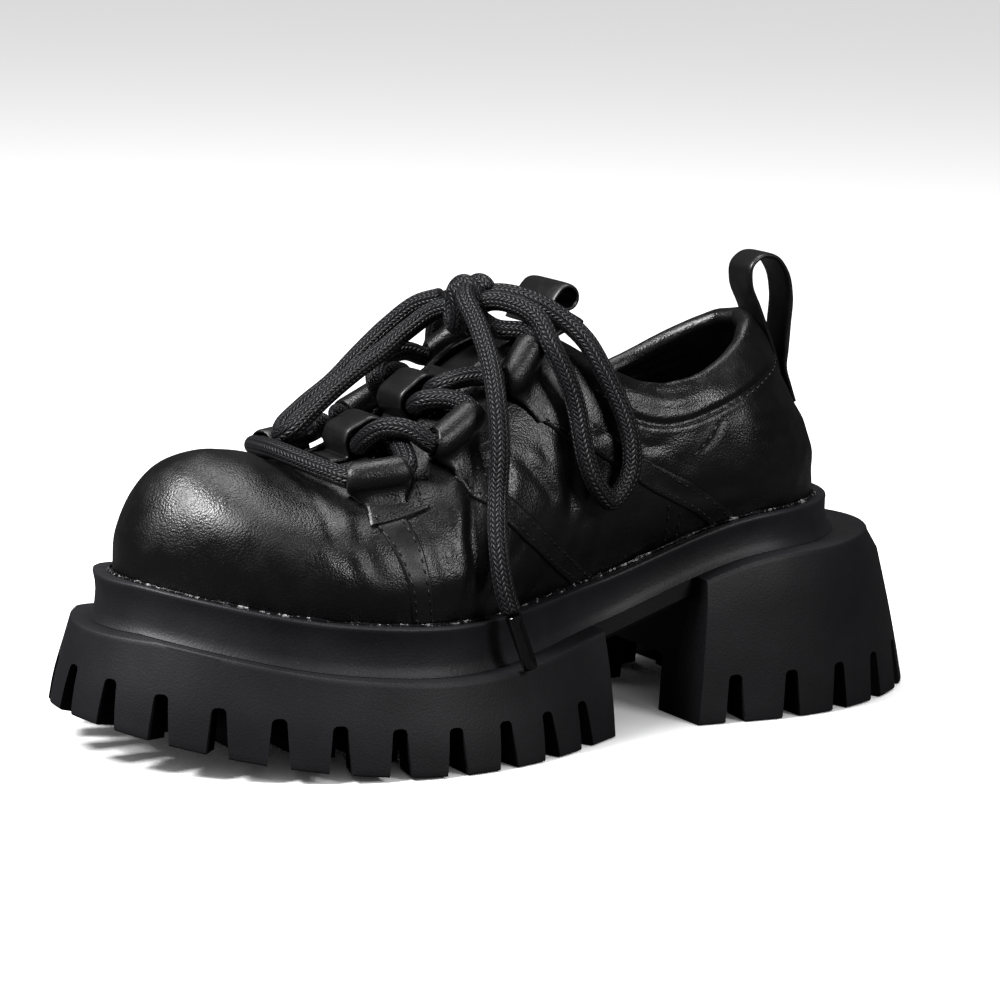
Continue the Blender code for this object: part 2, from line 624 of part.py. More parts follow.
def shell_grid():
    """Outer face of the upper as rings by rows, with its vertex normals."""
    grid = np.array(
        [rib(j / STATIONS, 1) for j in range(STATIONS + 1)]
        + [rib(j / STATIONS, -1) for j in range(STATIONS - 1, 0, -1)]
    )
    number = np.arange(COUNT * (ROWS + 1)).reshape(COUNT, ROWS + 1)
    shut = [k for k in range(STATIONS) if grid[k, -1, 0] > THROAT_FRONT and k > 0]
    for k in shut:
        number[COUNT - k, -1] = number[k, -1]
        grid[COUNT - k, -1] = grid[k, -1]
    points = grid.reshape(-1, 3)
    normals = np.zeros_like(points)
    for j in range(COUNT):
        k = (j + 1) % COUNT
        for i in range(ROWS):
            a, b, c, d = number[j, i], number[k, i], number[k, i + 1], number[j, i + 1]
            face = np.cross(points[c] - points[a], points[d] - points[b])
            for v in {a, b, c, d}:
                normals[v] += face
    normals /= np.maximum(np.linalg.norm(normals, axis=1), 1e-9)[:, None]
    if normals[number[STATIONS, 3]][0] < 0:
        normals = -normals
    return grid, normals[number], number, set(shut) | {STATIONS}


GRID, NORMAL, NUMBER, SHUT = shell_grid()


def is_shut(ring_index):
    station = ring_index if ring_index <= STATIONS else COUNT - ring_index
    return station in SHUT


def wall_at(ring_index, row):
    """Leather thickness: thin, and padded towards the collar's edge."""
    top_x = GRID[ring_index, -1, 0]
    padded = np.clip((COLLAR_FRONT - top_x) / 14.0, 0, 1)
    climb = np.clip((row / ROWS - 0.55) / 0.3, 0, 1)
    return WALL + (COLLAR_WALL - WALL) * padded * climb


def make_upper():
    """One hollow leather shell, open at the collar, the throat and underneath."""
    size = COUNT * (ROWS + 1)
    outer = GRID.reshape(-1, 3)
    thick = np.array([[wall_at(j, i) for i in range(ROWS + 1)] for j in range(COUNT)])
    inner = GRID - NORMAL * thick[..., None]
    inner[:, 0, 2] = GRID[:, 0, 2]
    lip = (GRID[:, -1] + inner[:, -1]) / 2 + NORMAL[:, -2] * 0.2
    lip[:, 2] += 0.35 * thick[:, -1]
    points = np.concatenate([outer, inner.reshape(-1, 3), lip])
    faces = []
    for j in range(COUNT):
        k = (j + 1) % COUNT
        for i in range(ROWS):
            quad = [NUMBER[j, i], NUMBER[k, i], NUMBER[k, i + 1], NUMBER[j, i + 1]]
            faces.append(quad)
            faces.append([v + size for v in reversed(quad)])
        faces.append([NUMBER[k, 0], NUMBER[j, 0], NUMBER[j, 0] + size, NUMBER[k, 0] + size])
        if is_shut(j) and is_shut(k):
            continue
        ends = [NUMBER[j, -1], NUMBER[k, -1]]
        crest = [2 * size + (SHUT_RIM if is_shut(v) else v) for v in (j, k)]
        faces.append([*ends, crest[1], crest[0]])
        faces.append([crest[0], crest[1], ends[1] + size, ends[0] + size])
    used = sorted({v for f in faces for v in f})
    renumber = {v: n for n, v in enumerate(used)}
    faces = [[renumber[v] for v in f] for f in faces]
    return add_mesh("upper", points[used], faces, "leather")


SHUT_RIM = min(SHUT)  # the station where the throat's two edges meet


def share_of_top(top_x):
    """Share of the feather line's arc whose rib ends at this place on the top line."""
    shares = np.linspace(0, 1, 401)
    tops = smooth(RIB_KEYS, RIB_VALUES, shares)[:, 0]
    return float(np.interp(top_x, tops, shares))


def on_upper(side, top_x, up, lift=0.0):
    """Point on the upper at a rib's end place and a share up it, lifted off its face."""
    share = share_of_top(top_x)

    def at(s, u):
        line = rib(s, side, 40)
        return np.array([np.interp(u * 40, range(41), line[:, k]) for k in range(3)])

    here = at(share, up)
    along = at(share + 0.01, up) - at(share - 0.01, up)
    climb = at(share, min(up + 0.02, 1.0)) - at(share, min(up + 0.02, 1.0) - 0.04)
    normal = np.cross(along, climb) * side
    normal /= np.linalg.norm(normal)
    normal = normal if normal[2] > 0 else -normal
    return here + normal * lift


def on_tongue(top_x, lift=0.0):
    """Point on the middle of the tongue's top face, lifted off it."""
    here = tongue_middle(top_x)
    along = tongue_middle(top_x + 2) - tongue_middle(top_x - 2)
    normal = np.array([-along[2], 0, along[0]]) / np.linalg.norm(along[[0, 2]])
    return here + normal * lift


def tongue_middle(top_x):
    share = share_of_top(top_x)
    top_z = smooth(RIB_KEYS, RIB_VALUES, share)[2]
    return np.array([top_x, float(centre_line(top_x)), top_z - TONGUE_SINK])


def tongue_rows():
    """Top face of the tongue, toe end first: points across it from outer to inner side."""
    under = range(ROWS - 4, ROWS + 1)
    clear = WALL + GAP + 0.4  # from the upper's outer face to the tongue's top face
    rows = []
    for k in reversed(range(STATIONS)):
        top_x = GRID[k, -1, 0]
        if not TONGUE_FACING < top_x < TONGUE_TOE:
            continue
        outer = [GRID[k, i] - NORMAL[k, i] * clear for i in under]
        inner = [GRID[-k % COUNT, i] - NORMAL[-k % COUNT, i] * clear for i in under]
        middle = (outer[-1] + inner[-1]) / 2
        if k in SHUT:
            outer[-1] = outer[-1] * 0.6 + outer[-2] * 0.4
            inner[-1] = inner[-1] * 0.6 + inner[-2] * 0.4
        else:
            middle[2] = tongue_middle(top_x)[2]
        rows.append(np.array(outer + [middle] + inner[::-1]))
    across = np.linspace(1, -1, len(rows[0]))
    for top_x, half, top_z in TONGUE_TOP:
        row = np.empty_like(rows[0])
        row[:, 0] = top_x - 1.5 * across**2
        row[:, 1] = centre_line(top_x) + half * across
        row[:, 2] = top_z - TONGUE_DROOP * across**2
        rows.append(row)
    return np.array(rows)


def make_tongue():
    """Padded leaf under the facings, from inside the vamp to above the collar."""
    top_face = tongue_rows()
    normal = np.cross(np.gradient(top_face, axis=0), np.gradient(top_face, axis=1))
    normal /= np.linalg.norm(normal, axis=2)[..., None]
    normal *= np.sign(normal[..., 2:3])
    rows, cols = top_face.shape[:2]
    pad = 1 - 0.5 * np.abs(np.linspace(-1, 1, cols)) ** 4
    under = top_face - normal * TONGUE_THICK * pad[None, :, None]
    size = rows * cols
    points = np.concatenate([top_face.reshape(-1, 3), under.reshape(-1, 3)])
    faces = []
    for r in range(rows - 1):
        for c in range(cols - 1):
            a = r * cols + c
            faces.append([a, a + 1, a + cols + 1, a + cols])
            faces.append([size + v for v in (a, a + cols, a + cols + 1, a + 1)])
    border = list(range(cols)) + [r * cols + cols - 1 for r in range(1, rows)]
    border += [(rows - 1) * cols + c for c in range(cols - 2, -1, -1)]
    border += [r * cols for r in range(rows - 2, 0, -1)]
    for a, b in zip(border, border[1:] + border[:1]):
        faces.append([a, b, b + size, a + size])
    return add_mesh("tongue", points, faces, "leather")


# ---------------------------------------------------------------- leather loops
def unit(v):
    return v / np.linalg.norm(v)


def banded(name, sections, finish):
    """A closed band: sections of an outer and an inner outline with the same count."""
    count = len(sections[0][0])
    points = np.concatenate([np.concatenate(pair) for pair in sections])
    faces = []
    for level in range(len(sections)):
        base = 2 * count * level
        for i in range(count):
            k = (i + 1) % count
            if level < len(sections) - 1:
                far = base + 2 * count
                faces.append((base + i, base + k, far + k, far + i))
                faces.append((base + count + k, base + count + i, far + count + i, far + count + k))
            if level == 0:
                faces.append((base + k, base + i, base + count + i, base + count + k))
            if level == len(sections) - 1:
                faces.append((base + i, base + k, base + count + k, base + count + i))
    return add_mesh(name, points, faces, finish)


def loop_axis(side, number):
    """Front and back end of a folded loop's middle line, and the points of the facing under them."""
    front_x, front_up, back_x, back_up = LOOPS[number]
    ends = ((front_x, front_up), (back_x, back_up))
    lift = LOOP_R + GAP + 0.15
    return [on_upper(side, x, up, lift) for x, up in ends], [on_upper(side, x, up) for x, up in ends]


def make_lace_loop(name, side, number):
    """Leather folded round the lace, with its tail down the facing."""
    axis, ground = loop_axis(side, number)
    front_x, front_up, back_x, back_up = LOOPS[number]
    turns, inner_turns = np.radians(LOOP_TURNS), np.radians(LOOP_BORE_TURNS)
    along = unit(axis[1] - axis[0])
    sections = []
    for share in (0.0, 0.5, 1.0):
        middle = axis[0] * (1 - share) + axis[1] * share
        up = unit(middle - (ground[0] * (1 - share) + ground[1] * share))
        up = unit(up - along * (up @ along))
        rib_x = front_x * (1 - share) + back_x * share
        rib_up = front_up * (1 - share) + back_up * share
        tail_up = rib_up - LOOP_TAIL / RIB_LONG
        tail_low = on_upper(side, rib_x, tail_up, LOOP_TAIL_LIFT)
        tail_high = on_upper(side, rib_x, tail_up, LOOP_TAIL_LIFT + LOOP_TAIL_T)
        slip = along * ((middle - tail_low) @ along)
        down = unit(np.cross(up, along))
        down = down if down @ (tail_low - middle) > 0 else -down
        outer = [tail_low + slip, tail_high + slip]
        outer += [middle + LOOP_R * (math.cos(t) * down + math.sin(t) * up) for t in turns]
        inner = [middle + LOOP_BORE * (math.cos(t) * down + math.sin(t) * up) for t in inner_turns]
        sections.append((np.array(outer), np.array(inner)))
    return banded(name, sections, "leather")


def tongue_line():
    """Arc length along the middle of the tongue from the first keeper, towards the heel."""
    top_x = np.linspace(TONGUE_TOE, TONGUE_FACING, 200)
    points = np.array([tongue_middle(x) for x in top_x])
    arc = np.r_[0, np.cumsum(np.linalg.norm(np.diff(points, axis=0), axis=1))]
    return top_x, arc - np.interp(-KEEPERS[0], -top_x, arc)


TONGUE_X, TONGUE_ARC = tongue_line()


def along_tongue(arc, lift, y=0.0):
    """Point over the tongue at an arc length from the first keeper."""
    here = on_tongue(float(np.interp(arc, TONGUE_ARC, TONGUE_X)), lift)
    return here + [0, y, 0]


def keeper_arc(number):
    return float(np.interp(-KEEPERS[number], -TONGUE_X, TONGUE_ARC))


def make_keeper():
    """One strip with two arches, each over two strands of the lace."""
    second = keeper_arc(1)
    half = [(-s, z) for s, z in KEEPER_ARCH] + [(s, z) for s, z in KEEPER_ARCH[-2::-1]]
    inner = [(-KEEPER_ARCH[0][0] - KEEPER_END, 0.0)] + half
    inner += [(s + second, z) for s, z in half]
    inner += [(second + KEEPER_ARCH[0][0] + KEEPER_END, 0.0)]
    inner = np.array(inner)
    slope = np.gradient(inner, axis=0)
    out = np.stack([-slope[:, 1], slope[:, 0]], 1)
    out /= np.linalg.norm(out, axis=1)[:, None]
    outer = inner + out * KEEPER_T
    outer[[0, -1]] = inner[[0, -1]] + [0, KEEPER_T]
    points, faces = [], []
    for rim in (inner, outer):
        for y in (KEEPER_W / 2, -KEEPER_W / 2):
            points += [along_tongue(s, z + GAP + 0.1, y) for s, z in rim]
    n = len(inner)
    for i in range(n - 1):
        faces += [(i, i + 1, n + i + 1, n + i), (2 * n + i + 1, 2 * n + i, 3 * n + i, 3 * n + i + 1)]
        faces += [(i + 1, i, 2 * n + i, 2 * n + i + 1), (n + i, n + i + 1, 3 * n + i + 1, 3 * n + i)]
    faces += [(0, n, 3 * n, 2 * n), (2 * n - 1, n - 1, 3 * n - 1, 4 * n - 1)]
    return add_mesh("lace_keeper", points, faces, "leather")


def make_heel_loop():
    """Tall pull loop on the back seam: a closed teardrop with a tail."""
    middle = np.array(HEEL_LOOP)
    slope = np.roll(middle, -1, 0) - np.roll(middle, 1, 0)
    out = np.stack([slope[:, 1], -slope[:, 0]], 1)
    out /= np.linalg.norm(out, axis=1)[:, None]
    tail = np.array(HEEL_TAIL)
    outer = np.concatenate([middle + out * PULL_T / 2, [tail - [PULL_T, -0.9], tail]])
    inner = middle - out * PULL_T / 2
    inner = np.concatenate([inner, [inner[-1] * 0.7 + inner[0] * 0.3, inner[-1] * 0.35 + inner[0] * 0.65]])
    sections = []
    for y in (HEEL_LOOP_W / 2, -HEEL_LOOP_W / 2):
        sections.append([np.column_stack([o[:, 0], np.full(len(o), y), o[:, 1]]) for o in (outer, inner)])
    return banded("heel_pull_loop", sections, "leather")


def make_tongue_loop():
    """Rolled tab across the top of the tongue, its tail on the tongue's face."""
    x, z, radius = TONGUE_LOOP
    turns, inner_turns = np.radians(TAB_TURNS), np.radians(TAB_BORE_TURNS)
    ahead, up = np.array([1.0, 0.0]), np.array([0.0, 1.0])
    outer = [np.array([x + TONGUE_TAIL, 0]), np.array([x + TONGUE_TAIL, 0])]
    top = float(np.interp(x + TONGUE_TAIL, *tongue_top_line()))
    outer[0][1], outer[1][1] = top + GAP + 0.3, top + GAP + 0.3 + PULL_T
    outer += [np.array([x, z]) + radius * (math.cos(t) * ahead + math.sin(t) * up) for t in turns]
    bore = radius - PULL_T
    inner = [np.array([x, z]) + bore * (math.cos(t) * ahead + math.sin(t) * up) for t in inner_turns]
    outer, inner = np.array(outer), np.array(inner)
    y0 = float(centre_line(x))
    sections = []
    for y in (y0 + TONGUE_LOOP_W / 2, y0 - TONGUE_LOOP_W / 2):
        sections.append([np.column_stack([o[:, 0], np.full(len(o), y), o[:, 1]]) for o in (outer, inner)])
    return banded("tongue_pull_loop", sections, "leather")


def tongue_top_line():
    """x and height of the free end of the tongue, along its middle."""
    x, _, z = (np.array(column) for column in zip(*TONGUE_TOP[::-1]))
    return x, z


# ---------------------------------------------------------------- laces
def even_points(control, step, bend=0.0):
    """Evenly spaced points on a smooth curve through hand-chosen ones."""
    control = np.array(control, float)
    arc = np.r_[0, np.cumsum(np.linalg.norm(np.diff(control, axis=0), axis=1))]
    fine = smooth(arc, control, np.linspace(0, arc[-1], 60 * len(control)))
    if bend:
        fine = eased(resample(fine, 0.5), bend)
    return resample(fine, step)


def resample(line, step):
    length = np.r_[0, np.cumsum(np.linalg.norm(np.diff(line, axis=0), axis=1))]
    even = np.linspace(0, length[-1], max(3, round(length[-1] / step) + 1))
    return np.stack([np.interp(even, length, line[:, k]) for k in range(3)], 1)


def eased(line, bend):
    """Rounds the bends of a finely sampled line with a weighted average over this reach."""
    half = round(bend / 0.5)
    weights = np.bartlett(2 * half + 3)[1:-1]
    before = 2 * line[0] - line[half:0:-1]
    after = 2 * line[-1] - line[-2 : -half - 2 : -1]
    padded = np.concatenate([before, line, after])
    return np.stack([np.convolve(padded[:, k], weights / weights.sum(), "valid") for k in range(3)], 1)


def add_cord(name, points, diameter, finish="lace"):
    """Round tube along points in mm, closed at both ends."""
    curve = bpy.data.curves.new(name, "CURVE")
    curve.dimensions = "3D"
    curve.bevel_depth = diameter / 2 * MM
    curve.bevel_resolution = 2
    curve.use_fill_caps = True
    spline = curve.splines.new("POLY")
    spline.points.add(len(points) - 1)
    for point, at in zip(spline.points, (np.asarray(points, float) - ORIGIN) * MM):
        point.co = (*at, 1.0)
    made = bpy.data.objects.new(name, curve)
    bpy.context.scene.collection.objects.link(made)
    curve.materials.append(material(finish))
    return made


def through_loop(side, number, forward):
    """Control points of the lace through one folded loop, a little beyond both ends."""
    (front, back), _ = loop_axis(side, number)
    ends = (back, front) if forward else (front, back)
    way = unit(ends[1] - ends[0])
    return [ends[0] - way * LOOP_RUN, ends[0], ends[1], ends[1] + way * LOOP_RUN]


def across(keeper, ahead, side, ways):
    """Control points across the tongue under a keeper, from one side to the other.

    ways holds, for the side the strand comes from and the one it goes to, the place on
    the top line, the share up its rib and the lift of each point over the facing.
    """
    lane = keeper_arc(keeper) - LANE if ahead else keeper_arc(keeper) + LANE
    start, end = ways
    points = [on_upper(side, x, up, high) for x, up, high in start]
    for y, rise in ((EDGE_Y, EDGE_RISE), (FLAT_Y, 0.0), (0.0, 0.0), (-FLAT_Y, 0.0), (-EDGE_Y, EDGE_RISE)):
        points.append(along_tongue(lane, STRAND_LIFT + rise, side * y))
    points += [on_upper(-side, x, up, high) for x, up, high in end]
    return points


def crossing_line():
    """The lace from one side of the knot to the other, through every loop and keeper."""
    points = [*START_OUTER]
    points += through_loop(1, 2, True)
    points += across(1, False, 1, WAYS_2_REAR)
    points += through_loop(-1, 1, True)
    points += across(0, False, -1, WAYS_1_REAR)
    points += through_loop(1, 0, True)
    points += BAR + [(x, 2 * float(centre_line(x)) - y, z) for x, y, z in BAR[-2::-1]]
    points += through_loop(-1, 0, False)
    points += across(0, True, -1, WAYS_1_AHEAD)
    points += through_loop(1, 1, False)
    points += across(1, True, 1, WAYS_2_AHEAD)
    points += through_loop(-1, 2, False)
    points += [*START_INNER]
    return points


def knot_line():
    x, y, z = KNOT
    turn = np.linspace(KNOT_START, KNOT_START + KNOT_TURNS, 4 * math.ceil(KNOT_TURNS * 3))
    angle = 2 * math.pi * turn
    along = x + KNOT_PITCH * (turn - turn.mean())
    return np.column_stack([along, y + KNOT_Y * np.cos(angle), z + KNOT_Z * np.sin(angle)])


def make_laces():
    add_cord("lace_crossings", even_points(crossing_line(), CROSSING_STEP, CROSSING_BEND), LACE_D)
    add_cord("lace_knot", even_points(knot_line(), CROSSING_STEP), LACE_D)
    add_cord("lace_bow_outer", even_points(BOW_OUTER, CORD_STEP), LACE_D)
    add_cord("lace_bow_inner", even_points(BOW_INNER, CORD_STEP), LACE_D)
    for side, line in (("outer", END_OUTER), ("inner", END_INNER)):
        points = even_points(line, CORD_STEP)
        add_cord("lace_end_" + side, points, LACE_D)
        way = unit(points[-1] - points[-2])
        start = points[-1] + way * GAP
        add_cord("aglet_" + side, [start, start + way * AGLET_LONG], AGLET_D, "aglet")


def main():
    for old in list(bpy.data.objects):
        bpy.data.objects.remove(old)
    make_outsole()
    make_midsole()
    make_insole()
    make_upper()
    make_tongue()
    for number in range(len(LOOPS)):
        make_lace_loop(f"lace_loop_outer_{number + 1}", 1, number)
        make_lace_loop(f"lace_loop_inner_{number + 1}", -1, number)
    make_keeper()
    make_heel_loop()
    make_tongue_loop()
    make_laces()


if __name__ == "__main__":
    main()
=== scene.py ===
"""Looks of a platform derby shoe, left foot: leather upper, lace and lugged rubber sole.

Places are in millimetres in the shoe's own frame, as in the part's source: x runs from
the back of the heel seat to the toe, +y is the outer side and z the height over the
floor. A place on the upper is given as the place on the top line whose rib it lies on,
and its share up that rib. Every piece is turned into metres round the middle of the
outsole when it is made.
"""

from __future__ import annotations

import logging
import math
from collections.abc import Callable, Iterator
from contextlib import contextmanager
from dataclasses import dataclass, field
from enum import Enum
from functools import partial

import bpy
import numpy as np
from mathutils import Matrix, Vector, noise


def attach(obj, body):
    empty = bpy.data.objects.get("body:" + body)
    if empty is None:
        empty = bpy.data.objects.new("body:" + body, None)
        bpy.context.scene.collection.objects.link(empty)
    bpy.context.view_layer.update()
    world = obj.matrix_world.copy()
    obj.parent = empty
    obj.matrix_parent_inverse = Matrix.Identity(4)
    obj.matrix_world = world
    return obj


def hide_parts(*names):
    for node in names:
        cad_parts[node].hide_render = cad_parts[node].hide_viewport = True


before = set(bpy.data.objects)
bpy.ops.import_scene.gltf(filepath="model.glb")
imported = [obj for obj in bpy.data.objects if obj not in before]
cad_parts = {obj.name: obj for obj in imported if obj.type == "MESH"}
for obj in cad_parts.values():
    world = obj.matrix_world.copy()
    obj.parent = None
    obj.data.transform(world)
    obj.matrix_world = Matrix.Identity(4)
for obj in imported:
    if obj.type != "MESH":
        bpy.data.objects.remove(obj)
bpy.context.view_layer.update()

log = logging.getLogger("shoe")

MM = 0.001
BODY = "root"
GAP = 0.3  # mm between pieces that touch
WELD = 1e-6  # m within which points are one
READINGS = 40  # of a curve for each of its given points
SHARE_MM = 90.0  # mm that a share of the upper's height comes to, to space points evenly
ACROSS = np.array([0.0, 1.0, 0.0])  # from side to side of the shoe

Points = list[tuple[float, ...]]
Offsets = tuple[float, float, float]  # how far out at the sides, the toe and the heel
Height = Callable[[np.ndarray], np.ndarray]  # z at x
Piece = bpy.types.Object
Tree = bpy.types.NodeTree
Node = bpy.types.ShaderNode


class Side(Enum):
    """Which half of the shoe a piece lies on."""

    OUTER = 1
    INNER = -1

    @property
    def tag(self) -> str:
        """The side's part of a piece's name."""
        return self.name.lower()


def table(*rows: tuple) -> list:
    """A dataclass field that holds these rows."""
    return field(default_factory=lambda: list(rows))


# ---- curves
def smooth(keys: np.ndarray, values: np.ndarray, at: np.ndarray) -> np.ndarray:
    """Catmull-Rom reading of a table whose keys need not be evenly spaced.

    Args:
        keys: Rising keys.
        values: One value or one row for each key.
        at: Where the table is read.

    Returns:
        The values there, one row for each place.
    """
    keys, values = np.asarray(keys, float), np.asarray(values, float)
    at = np.clip(np.asarray(at, float), keys[0], keys[-1])
    step = np.diff(keys)
    flat = values.ndim == 1
    values = values[:, None] if flat else values
    slope = np.diff(values, axis=0) / step[:, None]
    tangent = np.empty_like(values)
    tangent[0], tangent[-1] = slope[0], slope[-1]
    share = (step[1:] / (step[1:] + step[:-1]))[:, None]
    tangent[1:-1] = slope[:-1] * share + slope[1:] * (1 - share)
    i = np.clip(np.searchsorted(keys, at, side="right") - 1, 0, len(step) - 1)
    h = step[i][..., None]
    u = ((at - keys[i])[..., None]) / h
    found = (
        values[i] * (2 * u**3 - 3 * u**2 + 1)
        + tangent[i] * h * (u**3 - 2 * u**2 + u)
        + values[i + 1] * (3 * u**2 - 2 * u**3)
        + tangent[i + 1] * h * (u**3 - u**2)
    )
    return found[..., 0] if flat else found


def along(points: np.ndarray) -> np.ndarray:
    """Distance of each point from the first one, along the line."""
    return np.r_[0, np.cumsum(np.linalg.norm(np.diff(points, axis=0), axis=1))]


def resample(line: np.ndarray, count: int) -> np.ndarray:
    """The line as this many evenly spaced points.

    Args:
        line: The points in order.
        count: How many are wanted.

    Returns:
        The new points, both ends among them.
    """
    length = along(line)
    even = np.linspace(0, length[-1], count)
    return np.stack([np.interp(even, length, line[:, k]) for k in range(line.shape[1])], 1)


def curve_through(control: Points | np.ndarray, count: int) -> np.ndarray:
    """Evenly spaced points on a smooth curve through given ones.

    Args:
        control: The given points.
        count: How many are wanted.

    Returns:
        The points, both ends among them.
    """
    control = np.array(control, float)
    length = along(control)
    at = np.linspace(0, length[-1], READINGS * len(control))
    return resample(smooth(length, control, at), count)


def unit(v: np.ndarray) -> np.ndarray:
    """The vectors at length one."""
    return v / np.maximum(np.linalg.norm(v, axis=-1, keepdims=True), 1e-12)


def bump_at(distance: np.ndarray, width: float) -> np.ndarray:
    """A soft bell over a distance."""
    return np.exp(-((distance / width) ** 2))


def moved(offsets: Offsets, out: float) -> list[float]:
    """Offsets of an edge that lies this much further out."""
    return [a + out for a in offsets]


# ---- making meshes
def select_only(piece: Piece) -> None:
    """Makes the piece the only selected and the active one.

    Args:
        piece: What is selected.
    """
    bpy.ops.object.select_all(action="DESELECT")
    piece.select_set(True)
    bpy.context.view_layer.objects.active = piece


@contextmanager
def editing(piece: Piece) -> Iterator[None]:
    """Edit mode on one piece, with all of it selected at first.

    Args:
        piece: What is edited.

    Yields:
        Nothing; the piece is in edit mode until the block ends.
    """
    select_only(piece)
    bpy.ops.object.mode_set(mode="EDIT")
    bpy.ops.mesh.select_all(action="SELECT")
    yield
    bpy.ops.object.mode_set(mode="OBJECT")


def to_metres(points: np.ndarray) -> np.ndarray:
    """Points from the shoe's millimetres to metres round the middle of the outsole."""
    return (np.asarray(points, float) - LAST.origin) * MM


def coordinates(mesh: bpy.types.Mesh) -> np.ndarray:
    """Where a mesh's points are, one row each.

    Args:
        mesh: The mesh.

    Returns:
        The points as the mesh has them, in metres.
    """
    flat = np.empty(len(mesh.vertices) * 3)
    mesh.vertices.foreach_get("co", flat)
    return flat.reshape(-1, 3)


def place_points(mesh: bpy.types.Mesh, points: np.ndarray) -> None:
    """Moves a mesh's points to these places in mm."""
    mesh.vertices.foreach_set("co", to_metres(points.reshape(-1, 3)).ravel())
    mesh.update()


def loft(
    name: str, rings: np.ndarray, closed: bool = True, capped: bool = True,
    uv_size: tuple[float, float] = (1.0, 1.0), crease_angle: float = 40.0,
) -> Piece:
    """Lays a grid over rings of points.

    Args:
        name: Name of the piece.
        rings: Array of rings, points and coordinates, in mm.
        closed: Whether each ring joins up with itself.
        capped: Whether the first and the last ring are filled.
        uv_size: What the UV map runs to, across and along.
        crease_angle: Edges sharper than this many degrees stay sharp.

    Returns:
        The piece, with a UV map.
    """
    count, around = rings.shape[:2]
    if closed:
        rings = np.concatenate([rings, rings[:, :1]], axis=1)
        around += 1
    bpy.ops.object.select_all(action="DESELECT")
    bpy.ops.mesh.primitive_grid_add(x_subdivisions=around - 1, y_subdivisions=count - 1, size=1.0)
    piece = bpy.context.active_object
    piece.name = piece.data.name = name
    mesh = piece.data
    start = np.round(coordinates(mesh), 5)
    placed = np.empty_like(start)
    placed[np.lexsort((start[:, 0], start[:, 1]))] = rings.reshape(-1, 3)
    place_points(mesh, placed)
    uv = np.empty(len(mesh.loops) * 2)
    mesh.uv_layers[0].data.foreach_get("uv", uv)
    uv = uv.reshape(-1, 2) * uv_size
    mesh.uv_layers[0].data.foreach_set("uv", uv.ravel())
    tidy_mesh(piece, closed, capped, crease_angle)
    return piece


def tidy_mesh(piece: Piece, weld: bool, fill: bool, crease_angle: float) -> None:
    """Welds and fills a new mesh, turns its faces outwards and shades it smooth.

    Args:
        piece: The mesh.
        weld: Whether points at one place become one.
        fill: Whether open ends are closed.
        crease_angle: Edges sharper than this many degrees stay sharp.
    """
    with editing(piece):
        if weld:
            bpy.ops.mesh.remove_doubles(threshold=WELD)
        if fill:
            bpy.ops.mesh.select_all(action="SELECT")
            bpy.ops.mesh.fill_holes(sides=0)
            bpy.ops.mesh.select_all(action="SELECT")
            bpy.ops.mesh.normals_make_consistent(inside=False)
    bpy.ops.object.shade_smooth_by_angle(angle=math.radians(crease_angle))


def apply_modifier(piece: Piece, kind: str, **settings: object) -> None:
    """Adds a modifier with these settings and applies it.

    Args:
        piece: What it is applied to.
        kind: Blender's name of the modifier type.
        settings: The modifier's own properties.
    """
    select_only(piece)
    made = piece.modifiers.new(kind.lower(), kind)
    for key, value in settings.items():
        setattr(made, key, value)
    bpy.ops.object.modifier_apply(modifier=made.name)


def combine(piece: Piece, other: Piece, operation: str) -> None:
    """Joins another solid to the piece, or cuts the piece with it."""
    apply_modifier(piece, "BOOLEAN", object=other, operation=operation, solver="EXACT")
    bpy.data.objects.remove(other)


def copy_of(node: str, name: str) -> Piece:
    """A merged copy of a CAD node's mesh, as a new piece.

    Args:
        node: Name of the CAD node.
        name: Name of the new piece.

    Returns:
        The piece.
    """
    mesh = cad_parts[node].data.copy()
    piece = bpy.data.objects.new(name, mesh)
    bpy.context.scene.collection.objects.link(piece)
    mesh.materials.clear()
    with editing(piece):
        bpy.ops.mesh.remove_doubles(threshold=WELD)
    return piece


def joined(pieces: list[Piece], name: str) -> Piece:
    """Several pieces as one.

    Args:
        pieces: What is joined, into the first of them.
        name: Name of the whole.

    Returns:
        The piece.
    """
    bpy.ops.object.select_all(action="DESELECT")
    for piece in pieces:
        piece.select_set(True)
    bpy.context.view_layer.objects.active = pieces[0]
    bpy.ops.object.join()
    pieces[0].name = pieces[0].data.name = name
    return pieces[0]


def dress(piece: Piece, finish: Finish, slot: str, *replaced: str) -> Piece:
    """Gives a piece its material and body, and hides the nodes it stands for.

    Args:
        piece: The piece.
        finish: What it is made of.
        slot: Not used.
        replaced: The CAD nodes that it stands for.

    Returns:
        The same piece.
    """
    piece.data.materials.clear()
    piece.data.materials.append(finish.material())
    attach(piece, BODY)
    if replaced:
        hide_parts(*replaced)
    return piece


